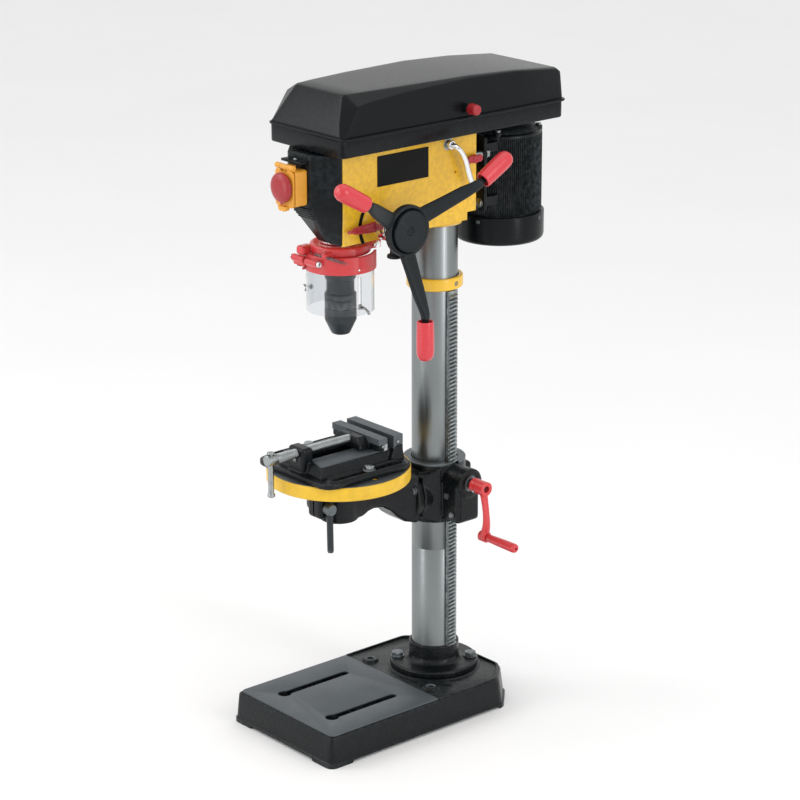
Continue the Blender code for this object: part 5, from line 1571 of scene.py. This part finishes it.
def build_motor():
    fins = 120

    def fin(turn, height, radius):
        return 2.6 * (max(0, math.cos(turn * fins)) ** 0.6) if radius > 61.6 and 769 < height < 889 else 0

    body = turned(
        [
            (0, 892.9), (9.6, 892.9), (9.6, 906.6), (14, 907), (30, 906), (50, 902), (60, 895), (62, 890),
            (62.2, 888.6), (62.2, 770), (61, 768.4), (61, 766.6), (0, 766.6)
        ],
        MOTOR, steps=fins * 8, ripple=fin
    )
    place(body, "motor_finned_body", "motor", "black_fins", "motor_body", smooth=40)
    box_shell = rounded(box((-23, 170, 797), (23, 197.6, 881)), 3.2, 4)
    place(box_shell, "motor_terminal_box", "motor", "black_moulded")
    lid = rounded(box((-21, 197, 799.4), (21, 199.4, 878.6)), 1, 3)
    place(lid, "motor_terminal_lid", "motor", "black_moulded")
    for number, (x, z) in enumerate(((-17, 804), (17, 804), (-17, 874), (17, 874)), 1):
        place(pan_screw((x, 199.2, z), BACK, 2.6, 1.3), f"terminal_screw_{number}", "motor", "zinc")
    bell = turned(
        [(58, 895), (62.8, 893.4), (64.4, 891.4), (64.6, 888.6), (64, 887.4), (58, 887.4)], MOTOR,
        steps=128, radius=0.6
    )
    place(bell, "motor_end_bell", "motor", "black_cast")
    for number in range(4):
        turn = math.radians(45 + 90 * number)
        x, y = 59 * math.cos(turn), MOTOR_Y + 59 * math.sin(turn)
        lug = rounded(rod((x, y, 884), (x, y, 898), 5.6, MEDIUM), 1, 2)
        place(lug, f"motor_lug_{number + 1}", "motor", "black_cast")
        place(bolt((x, y, 898), UP, 7, 3.4), f"motor_through_bolt_{number + 1}", "motor", "zinc")
    cover = turned(
        [
            (61, 767), (68.2, 767), (69, 766), (69, 731), (68, 726.6), (65, 723.6), (61, 722.6),
            (20, 722.6), (20, 724.4), (60, 724.6), (64.4, 727), (66.8, 731), (66.8, 764)
        ],
        MOTOR, steps=160, radius=0.6
    )
    cutters = []
    for ring, (radius, count) in enumerate(((30, 10), (42, 16), (54, 22))):
        for n in range(count):
            turn = math.tau * (n + 0.5 * (ring % 2)) / count
            cutters.append(
                slab(
                    [(p[0] + radius, p[1]) for p in slot_outline(0, 0, 5.4, 2.2, 4)], 718, 730,
                    Matrix.Translation(MOTOR) @ Matrix.Rotation(turn, 4, "Z")
                )
            )
    cut(cover, merge(*cutters))
    place(cover, "motor_fan_shroud", "motor", "black_sheet", "motor_fan_cover", smooth=35)
    fan = [turned([(0, 738), (18, 738), (20, 736), (20, 730), (0, 730)], MOTOR, steps=MEDIUM, radius=0.8)]
    for n in range(9):
        blade = box((14, -1, 728), (56, 1, 756))
        blade.data.transform(Matrix.Translation(MOTOR) @ Matrix.Rotation(math.tau * n / 9, 4, "Z"))
        fan.append(blade)
    place(rounded(merge(*fan), 0.4, 1, 50), "motor_fan", "motor", "black_moulded")
    for number in range(4):
        turn = math.radians(20 + 90 * number)
        out = Vector((math.cos(turn), math.sin(turn), 0))
        place(
            pan_screw(Vector(MOTOR) + out * 68.8 + Vector((0, 0, 760)), out, 3.2, 1.8),
            f"fan_cover_screw_{number + 1}", "motor", "dark_steel"
        )
    outline = rounded_path(
        [(-55, 785), (-36, 785), (-36, 853), (36, 853), (36, 785), (55, 785), (55, 900), (-55, 900)],
        [5, 3, 6, 6, 3, 5, 7, 7], 5
    )
    plate = slab(outline, -55.7, -50, Matrix.Rotation(math.pi / 2, 4, "X"))
    place(rounded(plate, 0.6, 2, 50), "motor_mount_plate", "motor", "black_sheet", "motor_mount")
    feet = []
    for x in (-48, 20):
        feet += [box((x, 55.8, 790), (x + 28, 84, 804)), box((x, 55.8, 872), (x + 28, 84, 886))]
    place(cast(merge(*feet), 0.9, 4), "motor_feet", "motor", "black_cast")
    for side, name in ((-1, "left"), (1, "right")):
        bar = turned([(0, 54), (7, 54), (7, 2), (6.2, 1), (0, 1)], (side * 46, 0, 872), BACK, MEDIUM)
        place(bar, f"slide_bar_{name}", "motor", "zinc")
        place(bolt((side * 46, 55.8, 872), BACK, 15, 7, 9.6), f"slide_bar_nut_{name}", "motor", "zinc")
        place(bolt((side * 45, 50, 797), FRONT, 10, 3, 7), f"motor_foot_bolt_{name}", "motor", "zinc")
        place(bolt((side * 30, 50, 879), FRONT, 10, 3, 7), f"motor_foot_bolt_upper_{name}", "motor", "zinc")


def build_tension():
    path = smooth_path(
        [
            (49.6, -24, 900), (58, -24, 900), (64, -23.4, 899.6), (68.4, -20, 897.6), (70.6, -12, 890),
            (71.8, -4, 876), (71.4, 2, 858), (71, 10, 838)
        ],
        8
    )
    radii = [4 + 0.7 * min(1, max(0, (n - 34) / 16)) for n in range(len(path))]
    radii[-1] = 4.2
    place(
        sweep(path, radii, 40), "tension_lever_bar", "tension_lever", "chrome", "tension_lever", smooth=60
    )
    collar = turned(
        [(4.1, 66.4), (6, 66.4), (6.8, 65.6), (6.8, 62.6), (4.1, 62.6)], TENSION_SHAFT, RIGHT, MEDIUM, 0.4
    )
    place(collar, "tension_lever_collar", "tension_lever", "chrome")
    wing = cast(
        merge(
            turned([(0, 68.6), (5, 68.6), (6.6, 67), (6.6, 60.4), (0, 60.4)], MOTOR_LOCK, RIGHT, MEDIUM),
            loft(
                [
                    [
                        (x, y, z) for x, z in ((63, 872 - h), (67, 872 - h), (67, 872 + h), (63, 872 + h))
                    ] for y,
                    h in ((7.6, 2), (11, 5.6), (16, 5.2), (22, 4.4), (28, 5.2), (33, 5.6), (36.4, 2))
                ]
            )
        ),
        0.6, 4
    )
    place(wing, "motor_lock_wing", "motor_lock", "red_plastic", "motor_lock_screw", smooth=60)
    place(
        turned([(0, 61), (3.9, 61), (3.9, 53.6), (0, 53.6)], MOTOR_LOCK, RIGHT, MEDIUM), "motor_lock_stud",
        "motor_lock", "zinc"
    )


# ---------------------------------------------------------------- belt case


def build_tray():
    def outline(inset):
        corner = 10
        x, low, high = 83.2 - inset, -248 + inset, 185 - inset
        return rounded_path([(-x, low), (x, low), (x, high), (-x, high)], max(corner - inset, 3), 8)

    tray = loft(
        [lifted(outline(i), z) for z, i in ((915, 2.2), (915.6, 0.9), (917, 0.1), (938.4, 0), (940, 0))]
    )
    cut(
        tray, loft([lifted(outline(3), z) for z in (918, 960)]),
        rod((0, SPINDLE_Y, 900), (0, SPINDLE_Y, 930), 24, FINE),
        slab([(p[0], p[1]) for p in slot_outline(0, 127, 24, 12)], 900, 930)
    )
    place(tray, "belt_case_tray", "stand", "black_sheet", "belt_tray", smooth=30)
    for number, y in enumerate((-150, 90), 1):
        leaf = rounded(box((-91.5, y - 19, 930), (-83, y + 19, 938.2)), 1, 2)
        barrel = turned(
            [(0, 20), (2.6, 20), (3, 19.6), (3, -19.6), (2.6, -20), (0, -20)], (-92.5, y, 939), BACK, MEDIUM
        )
        place(merge(leaf, barrel), f"tray_hinge_{number}", "stand", "dark_steel")
    for number, (x, y) in enumerate(
        ((-60, -225), (60, -225), (-60, 160), (60, 160), (0, -120), (0, 20)), 1
    ):
        place(pan_screw((x, y, 918), UP, 4.4, 2.4), f"tray_screw_{number}", "stand", "zinc")


LID_FRONT, LID_BACK = -247, 182
LID_PROFILE = (
    # y, foot half-width, shoulder half-width and height, top half-width and height
    (LID_FRONT, 80, 79.5, 945, 76, 947), (-240, 83.5, 83, 948, 68, 964), (-230.5, 83.8, 82, 963, 60, 982),
    (-221, 84, 81, 978, 52.5, 999), (-216, 84, 80.4, 985.6, 55, 1000.6), (-190, 84, 80, 990, 59, 1001),
    (-120, 84, 79.4, 995, 66, 1001.6),
    (0, 84, 78.5, 998.4, 73, 1001.8), (90, 84, 78.5, 996, 73, 998), (176, 83.4, 78, 988, 71, 990.6),
    (LID_BACK, 82.6, 77, 984, 70, 987),
)


def lid_ring(y, foot, shoulder, shoulder_z, top, top_z, low, crown):
    half = rounded_path(
        [(foot, low), (shoulder, shoulder_z), (top, top_z), (0, top_z + crown)], [0, 2.2, 2.8, 0], 4,
        closed=False
    )
    ring = [(p.x, y, p.y) for p in half]
    ring[-1:] = [(x * top * 0.96, y, top_z + crown * (1 - x * x)) for x in (0.75, 0.5, 0.25, 0)]
    return ring + [(-p[0], p[1], p[2]) for p in reversed(ring[:-1])]


def lid_solid(inset):
    """The lid's outer shape, or with an inset the hollow that is cut from it."""
    sections = []
    for y, foot, shoulder, shoulder_z, top, top_z in LID_PROFILE:
        crown = 0.2
        if y == LID_FRONT:
            y += inset * 2.2
        elif y == LID_BACK:
            y -= inset
        elif y < -200:
            y += inset * 1.2
        low = 938 if inset else 940.6
        sections.append(
            lid_ring(
                y, foot - inset, shoulder - inset, shoulder_z - inset, top - inset * 0.7,
                top_z - inset - 0.2, low, crown
            )
        )
    return loft(sections)


def build_lid():
    shell = lid_solid(0)
    cut(shell, lid_solid(2.4))
    place(rounded(shell, 1.3, 4, 24), "lid_shell", "lid", "black_sheet", "lid", smooth=18)
    path = rounded_path([(-86.4, -246.8), (86.4, -246.8), (86.4, 186.6), (-86.4, 186.6)], 12, 10)
    section = rounded_path(
        [(-4.2, 940.4), (2.2, 940.4), (2.2, 943.9), (-0.6, 944.2), (-4.2, 944)], [0.4, 1.6, 1.6, 1.4, 0.4],
        4
    )
    rings = []
    for n, point in enumerate(path):
        along = (path[(n + 1) % len(path)] - path[n - 1]).normalized()
        out = Vector((along.y, -along.x))
        rings.append([(point.x + out.x * s.x, point.y + out.y * s.x, s.y) for s in section])
    place(loft(rings, closed=True), "lid_lip", "lid", "black_sheet", smooth=40)
    for number, y in enumerate((-150, 90), 1):
        strap = rounded(box((-93.4, y - 12, 941.2), (-83.6, y + 12, 943.8)), 0.8, 2)
        place(strap, f"lid_hinge_strap_{number}", "lid", "dark_steel")
    knob = turned(
        [
            (0, 106), (5.8, 106), (7.4, 104.8), (8, 102.6), (8.3, 97), (8.6, 91.4), (8, 89.4), (6.6, 88.4),
            (0, 88.4)
        ],
        (0, -10, 956), RIGHT, FINE, 0.8
    )
    place(knob, "lid_pull_knob", "lid", "red_plastic", "lid_knob", smooth=60)
    shank = turned([(0, 90), (3.4, 90), (3.4, 81), (0, 81)], (0, -10, 956), RIGHT, MEDIUM)
    place(shank, "lid_knob_shank", "lid", "zinc")


def finish_inner_nodes():
    """The lift gear stays as it was packed and only gets a detailed finish."""
    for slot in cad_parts["lift_gear"].material_slots:
        slot.material = LOOKS["rack_steel"]


# ---------------------------------------------------------------- studio


def add_light(name, place_at, target, size, power):
    data = bpy.data.lights.new(name, "AREA")
    data.shape = "RECTANGLE"
    data.size, data.size_y = size
    data.energy = power
    lamp = bpy.data.objects.new(name, data)
    bpy.context.scene.collection.objects.link(lamp)
    lamp.location = place_at
    lamp.rotation_euler = (Vector(target) - Vector(place_at)).to_track_quat("-Z", "Y").to_euler()
    return lamp


WORLD_STRENGTH = 0.9
FLOOR_HALF = 9


def build_studio():
    floor_mesh = bpy.data.meshes.new("studio_floor")
    shape = bmesh.new()
    bmesh.ops.create_grid(shape, x_segments=8, y_segments=8, size=FLOOR_HALF)
    shape.to_mesh(floor_mesh)
    shape.free()
    floor = show(floor_mesh)
    floor.name = "studio_floor"
    floor.data.materials.append(
        finish("studio_paper", (0.9, 0.9, 0.9), 0.8, mottle=0.01, mottle_scale=2, grain=0.02)
    )
    world = bpy.data.worlds.new("studio_world")
    world.use_nodes = True
    background = world.node_tree.nodes["Background"]
    background.inputs[0].default_value = (1, 1, 1, 1)
    background.inputs[1].default_value = WORLD_STRENGTH
    bpy.context.scene.world = world
    bpy.context.scene.view_settings.view_transform = "Standard"
    centre = (0, 0, 0.55)
    add_light("key", (-2.2, -2.6, 2.7), centre, (1.6, 2.2), 34)
    add_light("strip_right", (2.6, 0.4, 1.3), centre, (0.5, 2.4), 20)
    add_light("strip_left", (-0.6, -3.2, 0.9), centre, (0.35, 2.2), 16)
    add_light("top", (0.3, 0.2, 3.2), centre, (2.4, 2.4), 12)


CAMERA_PLACE = (3068.46, -2702.72, 1827.09)
CAMERA_DOWN, CAMERA_ROLL, CAMERA_HEADING = 0.3171, 0.0018, 0.861
CAMERA_LENS, CAMERA_SENSOR = 126.2, 36


def build_camera():
    data = bpy.data.cameras.new("camera")
    data.lens = CAMERA_LENS
    data.sensor_width = CAMERA_SENSOR
    camera = bpy.data.objects.new("camera", data)
    bpy.context.scene.collection.objects.link(camera)
    camera.location = AXIS + Vector(CAMERA_PLACE) * MM
    camera.rotation_euler = (math.pi / 2 - CAMERA_DOWN, CAMERA_ROLL, CAMERA_HEADING)
    data.clip_start, data.clip_end = 0.1, 60
    bpy.context.scene.camera = camera


build_base()
build_column()
build_rack()
build_bracket()
build_crank()
build_column_lock()
build_arm()
build_table()
build_vise()
build_head()
build_nose()
build_switch()
build_quill()
build_guard()
build_spindle()
build_feed()
build_depth_stop()
build_pulleys()
build_motor()
build_tension()
build_tray()
build_lid()
finish_inner_nodes()
build_studio()
build_camera()
